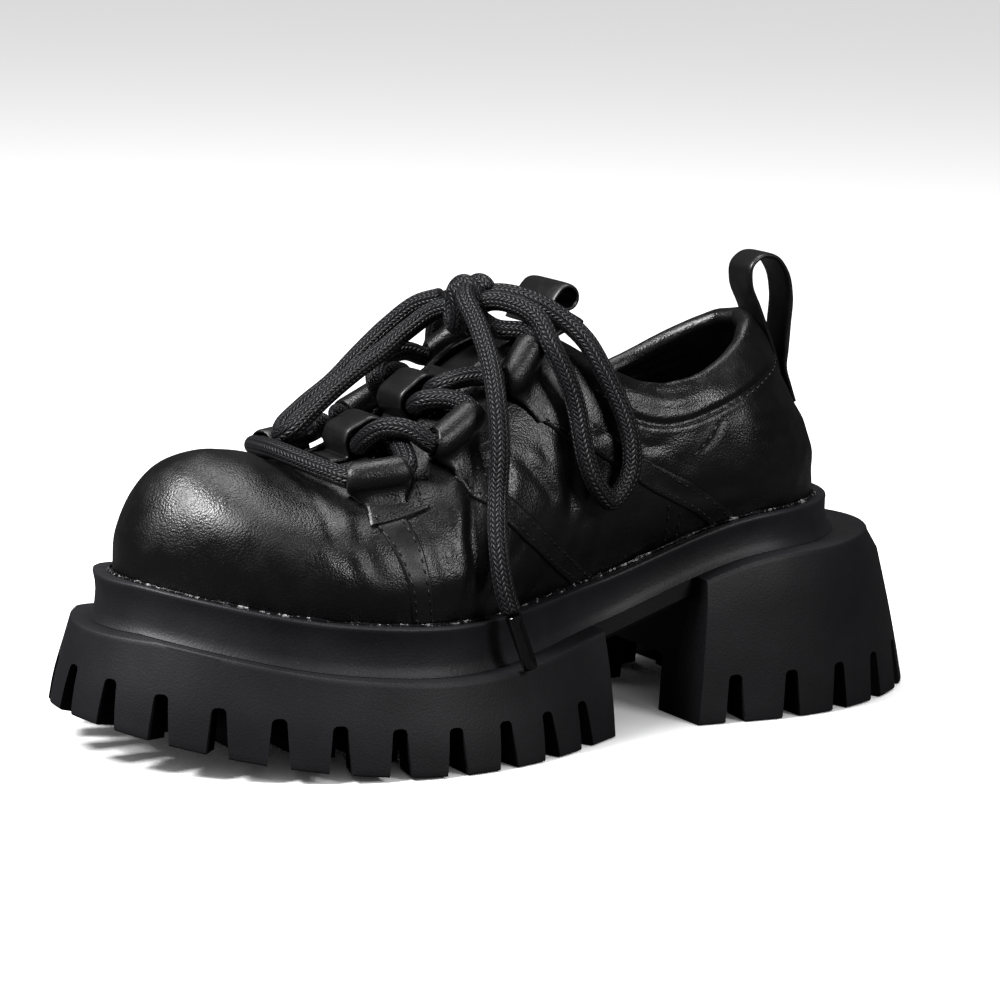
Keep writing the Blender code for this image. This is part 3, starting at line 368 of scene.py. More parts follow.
# ---- the last
@dataclass
class Last:
    """The shape that the sole and the upper are built on, from heel seat to toe.

    The tables are those of the part's source.
    """

    length: float = 250.0
    outer_joint: tuple[float, float, float] = (2.7, 0.62, 0.16)  # size, place, spread
    heel_round: tuple[float, float] = (41.0, 1.9)  # length and power of the rounding
    toe_round: tuple[float, float] = (52.0, 1.85)
    spring: float = 14.0
    spring_from: float = 160.0
    tread: Offsets = (17.8, 17.5, 33.8)
    ledge: Offsets = (12.3, 11.3, 18.5)
    upper_foot: Offsets = (-0.6, -1.8, -3.4)
    wall: float = 2.0
    collar_wall: float = 6.0
    collar_front: float = 112.0
    throat_front: float = 193.5
    rib_rise: tuple[float, float, float] = (0.30, 0.62, 0.88)
    rib_lean: tuple[float, float, float] = (0.06, 0.24, 0.58)
    stations: int = 240
    rows: int = 70
    plan_points: int = 721  # on one side of the feather line
    end_rows: int = 6  # of ribs at the seat and of rows under them whose normals are shared
    pressed: bool = True  # with the creases and seams of the worn leather
    bank: float = 0.3  # height of a crease's banks, as a share of its depth
    bank_place: float = 1.9  # their middles and their width, as shares of the crease's width
    bank_width: float = 1.1
    drape: tuple[float, float] = (0.5, 0.34)  # mm of slow and of quick waves
    drape_scale: tuple[float, float] = (0.045, 0.14)  # waves in a mm
    calm_toe: tuple[float, float] = (185.0, 25.0)  # where the quick waves fade, and over what
    collar_fade: float = 14.0  # mm of the top line over which the collar's padding starts
    collar_swell: tuple[float, float, float] = (1.1, 0.72, 0.28)  # mm, share up, over what
    crease_end: tuple[float, float] = (4.5, 0.12)  # how fast it deepens, and its depth at its end
    rub: float = 0.5  # how much a crease's banks are rubbed pale and painted lighter as a highlight
    rib_readings: int = 80  # of a rib's curve before its points are spaced evenly
    crease_points: int = 60
    plan: dict[float, tuple[float, float]] = field(
        default_factory=lambda: {  # share of the length: half width, centre line
            0.00: (31.5, 0.0),
            0.12: (32.9, 0.6),
            0.40: (26.5, 1.6),
            0.68: (48.5, 0.0),
            0.87: (43.3, -3.2),
            1.00: (40.2, -5.9),
        }
    )
    rise: dict[float, tuple[float, float]] = field(
        default_factory=lambda: {  # share of the length: feather height, band height
            0.00: (64.8, 12.1),
            0.18: (63.4, 12.1),
            0.40: (46.8, 13.0),
            0.64: (42.6, 15.1),
            0.82: (45.6, 15.0),
            1.00: (54.3, 14.7),
        }
    )
    ribs: Points = table(
        # foot_x, top_x, top_y, top_z, inner_drop, belly_1, belly_2, belly_3
        (0.0, 27.0, 0.0, 124.0, 0.0, -0.8, -6.6, -6.6),
        (6.0, 31.5, 10.5, 122.0, 0.0, 0.0, -4.4, -4.2),
        (20.0, 44.0, 20.0, 115.0, 0.0, 1.4, 0.0, -0.4),
        (38.0, 59.0, 25.5, 109.0, 2.0, 3.0, 3.8, 2.0),
        (60.0, 76.0, 26.0, 106.5, 5.5, 5.2, 6.0, 3.2),
        (82.0, 90.0, 22.5, 110.0, 6.5, 6.4, 7.0, 3.7),
        (103.0, 113.0, 13.8, 123.0, 2.5, 7.0, 6.8, 3.5),
        (122.0, 131.0, 12.0, 117.5, 0.0, 5.6, 4.5, 1.4),
        (147.0, 151.0, 12.2, 101.5, 0.0, 4.3, 2.8, 0.2),
        (176.0, 175.0, 13.0, 88.0, 0.0, 4.2, 3.4, 0.8),
        (192.0, 188.0, 8.5, 85.6, 0.0, 4.4, 4.4, 2.0),
        (202.0, 196.0, 0.0, 85.6, 0.0, 4.4, 6.2, 3.6),
        (222.0, 208.0, 0.0, 89.6, 0.0, 3.4, 6.2, 4.6),
        (240.0, 218.0, 0.0, 91.4, 0.0, 1.6, 2.4, 3.0),
        (250.0, 222.0, 0.0, 91.6, 0.0, 0.8, 0.6, 1.2),
    )

    # Creases and seam grooves: places (top_x, up), depth and width in mm.
    creases: list[tuple[Points, float, float]] = table(
        ([(152.8, 0.66), (155.0, 0.52), (158.4, 0.345), (158.6, 0.10)], 1.7, 2.8),
        ([(121.6, 0.63), (122.2, 0.52), (123.4, 0.39), (124.4, 0.27)], 1.7, 3.2),
        ([(168.0, 0.50), (168.6, 0.32), (166.5, 0.12)], 0.45, 2.4),
        ([(141.0, 0.30), (148.0, 0.20), (152.0, 0.08)], 0.7, 2.2),
        ([(112.0, 0.44), (117.0, 0.32), (121.0, 0.20)], 0.6, 2.2),
        ([(191.0, 0.62), (193.0, 0.42), (190.0, 0.20)], 0.5, 2.4),
        ([(88.0, 0.40), (80.0, 0.28), (64.0, 0.22)], 0.5, 2.6),
        ([(146.0, 0.64), (143.5, 0.55), (147.0, 0.46)], 0.5, 1.9),
        ([(139.0, 0.60), (135.5, 0.50), (129.5, 0.36)], 0.5, 2.0),
        ([(131.5, 0.60), (130.0, 0.52)], 0.35, 1.7),
        ([(150.5, 0.36), (152.5, 0.24), (150.0, 0.10)], 0.4, 2.2),
        ([(163.6, 0.52), (164.6, 0.40), (163.6, 0.24)], 0.5, 2.0),
        ([(186.0, 0.58), (187.5, 0.40), (184.5, 0.20)], 0.5, 2.0),
        ([(120.0, 0.60), (113.0, 0.56), (106.0, 0.60)], 0.5, 1.8),
        ([(100.0, 0.66), (90.0, 0.60), (84.0, 0.62)], 0.5, 1.9),
        ([(60.0, 0.60), (54.0, 0.52), (44.0, 0.50)], 0.5, 2.0),
        ([(58.0, 0.48), (50.0, 0.42), (38.0, 0.42)], 0.45, 2.2),
        ([(84.0, 0.93), (76.0, 0.90), (68.0, 0.93)], 0.3, 1.6),
        ([(27.0, 0.80), (48.0, 0.768), (69.0, 0.73), (77.5, 0.713), (83.5, 0.722),
          (93.0, 0.735), (106.0, 0.783)], 0.9, 1.1),
        ([(68.2, 0.665), (72.8, 0.573), (77.5, 0.508)], 0.5, 0.9),
        ([(83.6, 0.25), (83.4, 0.15), (83.1, 0.02)], 0.4, 0.9),
        ([(119.0, 0.27), (116.0, 0.235), (108.0, 0.14), (101.0, 0.05)], 0.35, 0.7),
    )

    def __post_init__(self) -> None:
        """Works out the feather line, the origin and the skin of both sides."""
        self.feather = {side: self._side_curve(side) for side in Side}
        ring = self.edge(self.tread, self.floor_height)
        self.origin = (ring.max(0) + ring.min(0)) / 2 * [1, 1, 0]
        points, arc = self.feather[Side.OUTER]
        self.rib_keys = np.interp([row[0] for row in self.ribs], points[:, 0], arc)
        self.rib_keys[0], self.rib_keys[-1] = 0.0, 1.0
        self.rib_values = np.array([row[1:] for row in self.ribs])
        self.shares = np.linspace(0, 1, self.stations + 1)
        self.tops = smooth(self.rib_keys, self.rib_values, self.shares)[:, 0]
        self.shut = self.tops > self.throat_front
        self.skin = {side: self._skin(side) for side in Side}
        self.normals = self._skin_normals()
        self.relief = {side: np.zeros(self.skin[side].shape[:2]) for side in Side}
        if self.pressed:
            self._press()
            self.normals = self._skin_normals()

    def read(self, table: dict[float, tuple[float, float]], x: np.ndarray) -> np.ndarray:
        """The columns of a table keyed by share of the length, at x."""
        keys = sorted(table)
        return smooth(keys, [table[k] for k in keys], np.asarray(x, float) / self.length)

    def centre_line(self, x: np.ndarray) -> np.ndarray:
        """y of the middle of the plan at x."""
        return self.read(self.plan, x)[..., 1]

    def feather_height(self, x: np.ndarray) -> np.ndarray:
        """Height of the feather line at x."""
        return self.read(self.rise, x)[..., 0]

    def ledge_height(self, x: np.ndarray) -> np.ndarray:
        """Top of the outsole at x, under the midsole band."""
        rise = self.read(self.rise, x)
        return rise[..., 0] - rise[..., 1]

    def floor_height(self, x: np.ndarray) -> np.ndarray:
        """Underside of the tread: flat, then lifted towards the toe.

        Args:
            x: Places along the shoe.

        Returns:
            z at each of them.
        """
        tip = self.length + self.tread[1]
        lift = np.clip((np.asarray(x, float) - self.spring_from) / (tip - self.spring_from), 0, 1.1)
        return self.spring * lift**2

    def half_width(self, x: np.ndarray, side: Side) -> np.ndarray:
        """y of the feather line at x on one side.

        Args:
            x: Places along the shoe.
            side: Side of the shoe.

        Returns:
            y at each of them.
        """
        width, middle = np.moveaxis(self.read(self.plan, x), -1, 0)
        for (length, power), depth in ((self.heel_round, x), (self.toe_round, self.length - x)):
            into = np.clip((length - depth) / length, 0, 1)
            width = width * (1 - into**power) ** (1 / power)
        size, place, spread = self.outer_joint
        bulge = size * bump_at(x / self.length - place, spread) if side is Side.OUTER else 0.0
        return middle + side.value * width + bulge * (width > 0)

    def _side_curve(self, side: Side) -> tuple[np.ndarray, np.ndarray]:
        """Fine points of one side of the feather line and their shares of its arc.

        Args:
            side: Side of the shoe.

        Returns:
            The points, and the share of each.
        """
        x = self.length / 2 * (1 - np.cos(np.linspace(0, math.pi, self.plan_points)))
        points = np.stack([x, self.half_width(x, side)], 1)
        points[0, 1], points[-1, 1] = self.centre_line(0.0), self.centre_line(self.length)
        arc = along(points)
        return points, arc / arc[-1]

    def foot(self, shares: np.ndarray, side: Side) -> tuple[np.ndarray, np.ndarray]:
        """Points of the feather line and their outward normals, at shares of one side's arc.

        Args:
            shares: Shares of the arc, from heel to toe.
            side: Side of the shoe.

        Returns:
            The points and the normals, in the plan.
        """
        points, arc = self.feather[side]
        near = 0.004  # share of the arc over which the direction is read
        found = [
            np.stack([np.interp(shares + d, arc, points[:, k]) for k in (0, 1)], 1)
            for d in (-near, 0.0, near)
        ]
        way = found[2] - found[0]
        out = unit(np.stack([-way[:, 1], way[:, 0]], 1) * side.value)
        for at, sign in ((shares <= 0, -1.0), (shares >= 1, 1.0)):
            out[at] = [sign, 0.0]
        return found[1], out

    def reach_at(self, offsets: Offsets, nx: np.ndarray) -> np.ndarray:
        """Offset from the feather line where its outward normal has this x part.

        Args:
            offsets: How far out at the sides, the toe and the heel.
            nx: x part of the normal.

        Returns:
            The offsets in mm.
        """
        side, toe, heel = offsets
        ahead, behind = np.clip(nx, 0, 1) ** 2, np.clip(-nx, 0, 1) ** 2
        return side + (toe - side) * ahead + (heel - side) * behind

    def edge(
        self, offsets: Offsets, height: Height, drop: float = 0.0, count: int = 160
    ) -> np.ndarray:
        """The feather line moved outwards: heel, outer side, toe, inner side.

        Args:
            offsets: How far out at the sides, the toe and the heel.
            height: Function that gives z at x.
            drop: How far below that height the ring lies.
            count: Steps on each side.

        Returns:
            The closed ring's points, without the first one repeated.
        """
        shares = np.arange(count + 1) / count
        outer, outer_out = self.foot(shares, Side.OUTER)
        inner, inner_out = self.foot(shares, Side.INNER)
        xy = np.concatenate([outer, inner[-2:0:-1]])
        out = np.concatenate([outer_out, inner_out[-2:0:-1]])
        xy = xy + out * self.reach_at(offsets, out[:, 0])[:, None]
        return np.column_stack([xy, height(xy[:, 0]) - drop])

    def rib(self, share: float, side: Side) -> np.ndarray:
        """Points of the outer face of the upper up one rib, feather line first.

        Args:
            share: Share of the feather line's arc that it starts from.
            side: Side of the shoe.

        Returns:
            The points, one row each.
        """
        foot, out = (v[0] for v in self.foot(np.array([share]), side))
        foot = foot + out * self.reach_at(self.upper_foot, out[0])
        top_x, top_y, top_z, inner_drop, *belly = smooth(self.rib_keys, self.rib_values, share)
        shut = top_x > self.throat_front or share in (0.0, 1.0)
        top_y = 0.0 if shut else max(top_y, 0.0)
        top_z -= inner_drop if side is Side.INNER else 0.0
        low = np.array([*foot, self.feather_height(foot[0]) + GAP])
        top = np.array([top_x, side.value * top_y + self.centre_line(top_x), top_z])
        knots = [low]
        for rise, lean, bulge in zip(self.rib_rise, self.rib_lean, belly):
            knots.append(low + (top - low) * [lean, lean, rise] + np.array([*out, 0]) * bulge)
        knots = np.array(knots + [top])
        last = top - knots[-2]
        beyond = top + last * ([1, 1, -1] if top_x > self.throat_front else [1, 1, 1])
        knots = np.concatenate([[2 * low - knots[1]], knots, [beyond]])
        step = np.r_[0, np.cumsum(np.sqrt(np.linalg.norm(np.diff(knots, axis=0), axis=1)))]
        at = np.linspace(step[1], step[-2], self.rib_readings)
        return resample(smooth(step, knots, at), self.rows + 1)

    def _skin(self, side: Side) -> np.ndarray:
        """Outer face of one side of the upper, station by station."""
        return np.array([self.rib(share, side) for share in self.shares])

    def _skin_normals(self) -> dict[Side, np.ndarray]:
        """Outward normals of both faces, the same on both sides where they meet.

        Returns:
            For each side, a normal at every station and row.
        """
        found = {}
        for side in Side:
            skin = self.skin[side]
            faces = np.cross(np.gradient(skin, axis=0), np.gradient(skin, axis=1))
            found[side] = unit(faces) * -side.value
            end = self.end_rows  # the ribs run together here
            found[side][-end:, -end:] = found[side][-end - 1, -end:]
        outer, inner = found[Side.OUTER], found[Side.INNER]
        for at in ((0,), (-1,), (self.shut, -1)):
            outer[at] = inner[at] = unit(outer[at] + inner[at])
        return found

    def _press(self) -> None:
        """Presses the creases and the seams' grooves into the skin, and lets the leather drape."""
        lines = [
            (curve_through(self.at(side, *zip(*path)), self.crease_points), depth, width)
            for side in Side
            for path, depth, width in self.creases
        ]
        up = np.linspace(0, 1, self.rows + 1)
        size, start, over = self.collar_swell
        crown = np.sin(np.clip((up - start) / over, 0, 1) * math.pi * 0.8)
        deepens, end = self.crease_end
        for side in Side:
            skin, move = self.skin[side], np.zeros(self.skin[side].shape[:2])
            for line, depth, width in lines:
                apart = np.linalg.norm(skin[:, :, None] - line, axis=3)
                near, place = apart.min(2), apart.argmin(2) / (len(line) - 1)
                fade = np.clip(deepens * np.minimum(place, 1 - place) + end, 0, 1)
                ridge = bump_at(near - self.bank_place * width, self.bank_width * width)
                move += depth * fade * (self.bank * ridge - bump_at(near, width))
                # The banks' paleness is partly rubbing and partly a painted highlight.
                self.relief[side] += fade * ridge * min(depth, 1.0) * self.rub
            drape = np.array([self.drape_at(p) for p in skin.reshape(-1, 3)]).reshape(move.shape)
            move += drape + self.collar_share()[:, None] * size * crown
            self.skin[side] = skin + self.normals[side] * move[..., None]

    def drape_at(self, point: np.ndarray) -> float:
        """How far the leather waves out of its plain shape at a point.

        Args:
            point: Place on the plain skin.

        Returns:
            The move in mm, outwards.
        """
        start, over = self.calm_toe
        calm = 1.0 - 0.75 * min(max((point[0] - start) / over, 0.0), 1.0)
        slow, quick = (noise.noise(Vector(point) * scale) for scale in self.drape_scale)
        return self.drape[0] * slow + self.drape[1] * quick * calm

    def collar_share(self) -> np.ndarray:
        """How much of the collar's padding each rib has, from none to all."""
        return np.clip((self.collar_front - self.tops) / self.collar_fade, 0, 1)

    def share_of_top(self, top_x: np.ndarray) -> np.ndarray:
        """Share of the feather line's arc whose rib ends at this place on the top line."""
        return np.interp(top_x, self.tops, self.shares)

    def skin_at(self, field_of: np.ndarray, top_x: np.ndarray, up: np.ndarray) -> np.ndarray:
        """Reads a field over one side's stations and rows between its grid points.

        Args:
            field_of: A value or a row for every station and row.
            top_x: Places on the top line.
            up: Shares up the ribs.

        Returns:
            What the field has there.
        """
        u = np.clip(self.share_of_top(top_x) * self.stations, 0, self.stations - 1e-6)
        v = np.clip(np.asarray(up, float) * self.rows, 0, self.rows - 1e-6)
        i, j = u.astype(int), v.astype(int)
        s, t = (u - i)[..., None], (v - j)[..., None]
        return (
            field_of[i, j] * (1 - s) * (1 - t)
            + field_of[i + 1, j] * s * (1 - t)
            + field_of[i, j + 1] * (1 - s) * t
            + field_of[i + 1, j + 1] * s * t
        )

    def at(
        self, side: Side, top_x: np.ndarray, up: np.ndarray, lift: np.ndarray | float = 0.0
    ) -> np.ndarray:
        """Points on the upper, lifted off its face.

        Args:
            side: Which side of the shoe.
            top_x: Place on the top line of the rib, one for each point.
            up: Share up that rib.
            lift: Distance from the face, in mm.

        Returns:
            The points, one row each.
        """
        top_x, up = np.broadcast_arrays(np.asarray(top_x, float), np.asarray(up, float))
        normal = unit(self.skin_at(self.normals[side], top_x, up))
        return self.skin_at(self.skin[side], top_x, up) + normal * np.asarray(lift)[..., None]


LAST = Last()
PLAIN = Last(pressed=False)


# ---- finishes
def linear(hex_colour: str) -> tuple[float, float, float, float]:
    """Linear colour of an sRGB hex value."""
    parts = [int(hex_colour[i : i + 2], 16) / 255 for i in (1, 3, 5)]
    return (*[c / 12.92 if c <= 0.04045 else ((c + 0.055) / 1.055) ** 2.4 for c in parts], 1.0)


def add_node(tree: Tree, kind: str, inputs: dict | None = None, **settings: object) -> Node:
    """Adds a node with its settings, its numbers and its links.

    Args:
        tree: The material's node tree.
        kind: Blender's name of the node type.
        inputs: For each input, a number or colour, or the socket that feeds it.
        settings: The node's own properties.

    Returns:
        The node.
    """
    made = tree.nodes.new(kind)
    for key, value in settings.items():
        setattr(made, key, value)
    for key, value in (inputs or {}).items():
        if isinstance(value, bpy.types.NodeSocket):
            tree.links.new(value, made.inputs[key])
        else:
            made.inputs[key].default_value = value
    return made


def per_mm(size: float) -> float:
    """Texture scale that gives a pattern of this size in mm on Object coordinates."""
    return 1.0 / (size * MM)


@dataclass(frozen=True)
class Finish:
    """What a surface is made of; each kind wires its own nodes."""

    name: str
    colour: str
    roughness: float

    def material(self) -> bpy.types.Material:
        """The finish's material, made once.

        Returns:
            The material.
        """
        made = bpy.data.materials.get(self.name)
        if made is None:
            made = bpy.data.materials.new(self.name)
            made.use_nodes = True
            shader = made.node_tree.nodes["Principled BSDF"]
            shader.inputs["Base Color"].default_value = linear(self.colour)
            shader.inputs["Roughness"].default_value = self.roughness
            self.wire(made.node_tree, shader)
        return made

    def wire(self, tree: Tree, shader: Node) -> None:
        """Adds the nodes of this finish."""


@dataclass(frozen=True)
class CalfLeather(Finish):
    """Chrome-tanned calf, waxed and burnished: pebbled grain, rubbed ridges with a painted
    highlight, fine scratches.

    The grain gives a broken, sparkling highlight; the waxed top coat gives it its depth.
    """

    # colour of rubbed places, also painted on the crease banks as a highlight
    rubbed_and_highlight: str = "#3a3a3d"
    grain: float = 0.65  # mm across a pebble; the real one is about 0.4 and would not show
    grain_depth: float = 0.1  # mm
    blotch: float = 14.0  # mm across a cloud of colour, as the dye takes unevenly
    pore: float = 0.35  # mm
    scratch: float = 22.0  # mm long, and a sixteenth of that wide
    scratches: float = 0.5
    coat: float = 0.05

    def wire(self, tree: Tree, shader: Node) -> None:
        """Mottled colour and roughness, a painted highlight on the rubbed crease banks, and
        pebbles, fine pores and scratches as bump.

        Args:
            tree: The material's nodes.
            shader: Its shader node.
        """
        add = partial(add_node, tree)
        where = add("ShaderNodeTexCoord").outputs["Object"]
        clouds = add(
            "ShaderNodeTexNoise",
            {"Vector": where, "Scale": per_mm(self.blotch), "Detail": 5.0, "Roughness": 0.62})
        # The relief attribute pales the crease banks: rubbed, and painted lighter as a highlight.
        relief = add("ShaderNodeAttribute", attribute_name="relief")
        rubbed_and_highlight = add(
            "ShaderNodeMath", {0: clouds.outputs["Fac"], 1: relief.outputs["Fac"]}, operation="ADD")
        share = add(
            "ShaderNodeMapRange", {"Value": rubbed_and_highlight.outputs[0], "From Min": 0.5, "From Max": 0.95})
        mixed = add(
            "ShaderNodeMix",
            {"Factor": share.outputs[0], 6: linear(self.colour), 7: linear(self.rubbed_and_highlight)},
            data_type="RGBA")
        tree.links.new(mixed.outputs[2], shader.inputs["Base Color"])
        rough = add(
            "ShaderNodeMapRange",
            {"Value": clouds.outputs["Fac"], "From Min": 0.3, "From Max": 0.7,
             "To Min": self.roughness + 0.15, "To Max": self.roughness - 0.13})
        tree.links.new(rough.outputs[0], shader.inputs["Roughness"])
        # The pebbles are drawn out by a noise four times as coarse, so they aren't even.
        drift = add(
            "ShaderNodeTexNoise", {"Vector": where, "Scale": per_mm(self.grain * 4), "Detail": 1.0})
        pushed = add(
            "ShaderNodeVectorMath", {0: drift.outputs["Color"], "Scale": self.grain * MM * 0.7},
            operation="SCALE")
        bent = add("ShaderNodeVectorMath", {0: where, 1: pushed.outputs[0]}, operation="ADD")
        pebbles = add(
            "ShaderNodeTexVoronoi",
            {"Vector": bent.outputs[0], "Scale": per_mm(self.grain), "Smoothness": 0.25},
            feature="SMOOTH_F1")
        pores = add(
            "ShaderNodeTexNoise", {"Vector": where, "Scale": per_mm(self.pore), "Detail": 2.0})
        stretch = add(
            "ShaderNodeMapping",
            {"Vector": where, "Rotation": (0.5, 0.9, 0.3), "Scale": (1.0, 16.0, 5.0)})
        lines = add(
            "ShaderNodeTexNoise",
            {"Vector": stretch.outputs[0], "Scale": per_mm(self.scratch), "Detail": 3.0})
        scratch = add(
            "ShaderNodeMapRange",
            {"Value": lines.outputs["Fac"], "From Min": 0.66, "From Max": 0.72, "To Min": 0.0,
             "To Max": self.scratches})
        height = add(
            "ShaderNodeMath", {0: pores.outputs["Fac"], 1: 0.45, 2: pebbles.outputs["Distance"]},
            operation="MULTIPLY_ADD")
        cut = add(
            "ShaderNodeMath", {0: height.outputs[0], 1: scratch.outputs[0]}, operation="SUBTRACT")
        bump = add(
            "ShaderNodeBump",
            {"Height": cut.outputs[0], "Strength": 1.0, "Distance": self.grain_depth * MM},
            invert=True)
        tree.links.new(bump.outputs[0], shader.inputs["Normal"])
        shader.inputs["Coat Weight"].default_value = self.coat
        shader.inputs["Coat Roughness"].default_value = 0.28
        shader.inputs["Specular IOR Level"].default_value = 0.46


@dataclass(frozen=True)
class MouldedRubber(Finish):
    """Foamed rubber from a sand-blasted mould: an even, matte charcoal with a fine tooth.

    The tooth scatters the light, so the walls show long soft shades and no clear highlight.
    """

    dust: str = "#4a4a4d"
    tooth: float = 0.55  # mm; the real tooth is finer and would not show
    tooth_depth: float = 0.05  # mm
    bloom: float = 26.0  # mm across a pale cloud, where the rubber's wax has come out
    speck: float = 1.1  # mm, a grain of dust

    def wire(self, tree: Tree, shader: Node) -> None:
        """Fine tooth as bump, with a faint bloom and specks of dust.

        Args:
            tree: The material's nodes.
            shader: Its shader node.
        """
        add = partial(add_node, tree)
        where = add("ShaderNodeTexCoord").outputs["Object"]
        bloom = add(
            "ShaderNodeTexNoise",
            {"Vector": where, "Scale": per_mm(self.bloom), "Detail": 4.0, "Roughness": 0.6})
        specks = add(
            "ShaderNodeTexNoise", {"Vector": where, "Scale": per_mm(self.speck), "Detail": 1.0})
        speck = add(
            "ShaderNodeMapRange",
            {"Value": specks.outputs["Fac"], "From Min": 0.72, "From Max": 0.8, "To Min": 0.0,
             "To Max": 0.35})
        share = add(
            "ShaderNodeMapRange",
            {"Value": bloom.outputs["Fac"], "From Min": 0.35, "From Max": 0.9, "To Min": 0.0,
             "To Max": 0.5})
        both = add(
            "ShaderNodeMath", {0: share.outputs[0], 1: speck.outputs[0]}, operation="ADD",
            use_clamp=True)
        mixed = add(
            "ShaderNodeMix",
            {"Factor": both.outputs[0], 6: linear(self.colour), 7: linear(self.dust)},
            data_type="RGBA")
        tree.links.new(mixed.outputs[2], shader.inputs["Base Color"])
        tooth = add(
            "ShaderNodeTexNoise", {"Vector": where, "Scale": per_mm(self.tooth), "Detail": 2.0})
        bump = add(
            "ShaderNodeBump",
            {"Height": tooth.outputs["Fac"], "Strength": 0.8, "Distance": self.tooth_depth * MM})
        tree.links.new(bump.outputs[0], shader.inputs["Normal"])
        shader.inputs["Specular IOR Level"].default_value = 0.3


@dataclass(frozen=True)
class BraidedCord(Finish):
    """Round polyester braid: slanting picks in columns that lean to the left and the right.

    The picks give it a fine herringbone and a soft, broken gloss. The UV map runs once
    round the cord and along it in mm.
    """

    # colour of the painted highlight on the picks' crowns
    light: str = "#57575a"
    columns: int = 14
    pick: float = 1.6  # mm along the cord; the real pick is finer and would not show
    depth: float = 0.4  # mm

    def wire(self, tree: Tree, shader: Node) -> None:
        """Herringbone of picks as bump, and a painted highlight on their crowns.

        Args:
            tree: The material's nodes.
            shader: Its shader node.
        """
        add = partial(add_node, tree)
        uv = add("ShaderNodeSeparateXYZ", {0: add("ShaderNodeUVMap").outputs[0]})
        made = {"x": uv.outputs["X"], "y": uv.outputs["Y"]}
        for name, operation, *values in (  # every second column leans the other way
            ("column", "MULTIPLY", "x", float(self.columns)), ("across", "FRACT", "column"),
            ("whole", "FLOOR", "column"), ("halved", "MULTIPLY", "whole", 0.5),
            ("odd", "FRACT", "halved"), ("right", "GREATER_THAN", "odd", 0.25),
            ("lean", "MULTIPLY_ADD", "right", 2.0, -1.0),
            ("slope", "MULTIPLY", "across", "lean"), ("shift", "MULTIPLY", "slope", 0.85),
            ("picks", "DIVIDE", "y", self.pick), ("place", "ADD", "picks", "shift"),
            ("pick", "FRACT", "place"), ("pick_turn", "MULTIPLY", "pick", math.pi),
            ("pick_wave", "SINE", "pick_turn"), ("crown", "POWER", "pick_wave", 0.6),
            ("rib_turn", "MULTIPLY", "across", math.pi), ("rib_wave", "SINE", "rib_turn"),
            ("rib", "POWER", "rib_wave", 0.5), ("height", "MULTIPLY", "crown", "rib"),
        ):
            inputs = {i: made.get(value, value) for i, value in enumerate(values)}
            made[name] = add("ShaderNodeMath", inputs, operation=operation).outputs[0]
        height = made["height"]
        # The crowns are painted lighter, as a highlight.
        mixed = add(
            "ShaderNodeMix", {"Factor": height, 6: linear(self.colour), 7: linear(self.light)},
            data_type="RGBA")
        tree.links.new(mixed.outputs[2], shader.inputs["Base Color"])
        bump = add(
            "ShaderNodeBump", {"Height": height, "Strength": 1.0, "Distance": self.depth * MM})
        tree.links.new(bump.outputs[0], shader.inputs["Normal"])
        shader.inputs["Specular IOR Level"].default_value = 0.3


@dataclass(frozen=True)
class Cloth(Finish):
    """Plain-woven cotton, as lining and sock: dull and even, with a faint crossed texture."""

    thread: float = 0.8  # mm; the real one is about 0.3 and would not show
    thread_depth: float = 0.15  # mm

    def wire(self, tree: Tree, shader: Node) -> None:
        """Crossed waves as the weave.

        Args:
            tree: The material's nodes.
            shader: Its shader node.
        """
        add = partial(add_node, tree)
        where = add("ShaderNodeTexCoord").outputs["Object"]
        scale = per_mm(self.thread) / 6.3  # a wave texture's band is about 2 pi units wide
        waves = [
            add("ShaderNodeTexWave", {"Vector": where, "Scale": scale}, bands_direction=axis)
            for axis in ("X", "Z")
        ]
        weave = add(
            "ShaderNodeMath", {i: wave.outputs["Fac"] for i, wave in enumerate(waves)},
            operation="MULTIPLY")
        bump = add(
            "ShaderNodeBump",
            {"Height": weave.outputs[0], "Strength": 0.6, "Distance": self.thread_depth * MM})
        tree.links.new(bump.outputs[0], shader.inputs["Normal"])


@dataclass(frozen=True)
class Shiny(Finish):
    """A smooth hard skin with small waves: shrunk film, thread wax or dried glue."""

    ripple: float = 2.0  # mm
    ripple_depth: float = 0.15  # mm
    flecks: str = ""  # colour of pale flecks painted on as glints, if it has any
    fleck: float = 2.6  # mm; a fine noise cut off hard leaves broken flecks of 1 to 3 mm

    def wire(self, tree: Tree, shader: Node) -> None:
        """Small waves as bump, and pale flecks painted on as glints.

        Args:
            tree: The material's nodes.
            shader: Its shader node.
        """
        add = partial(add_node, tree)
        where = add("ShaderNodeTexCoord").outputs["Object"]
        # The pale flecks are painted glints.
        if self.flecks:
            glint_noise = add(
                "ShaderNodeTexNoise",
                {"Vector": where, "Scale": per_mm(self.fleck), "Detail": 4.0, "Roughness": 0.7})
            share = add(
                "ShaderNodeMapRange",
                {"Value": glint_noise.outputs["Fac"], "From Min": 0.53, "From Max": 0.62})
            mixed = add(
                "ShaderNodeMix",
                {"Factor": share.outputs[0], 6: linear(self.colour), 7: linear(self.flecks)},
                data_type="RGBA")
            tree.links.new(mixed.outputs[2], shader.inputs["Base Color"])
        wave = add(
            "ShaderNodeTexNoise", {"Vector": where, "Scale": per_mm(self.ripple), "Detail": 3.0})
        bump = add(
            "ShaderNodeBump",
            {"Height": wave.outputs["Fac"], "Strength": 0.8, "Distance": self.ripple_depth * MM})
        tree.links.new(bump.outputs[0], shader.inputs["Normal"])


# Black calf, plated and burnished by hand: near black, with a low broken gloss.
UPPER_LEATHER = CalfLeather("burnished_calf_leather", "#040405", 0.35, rubbed_and_highlight="#111113")
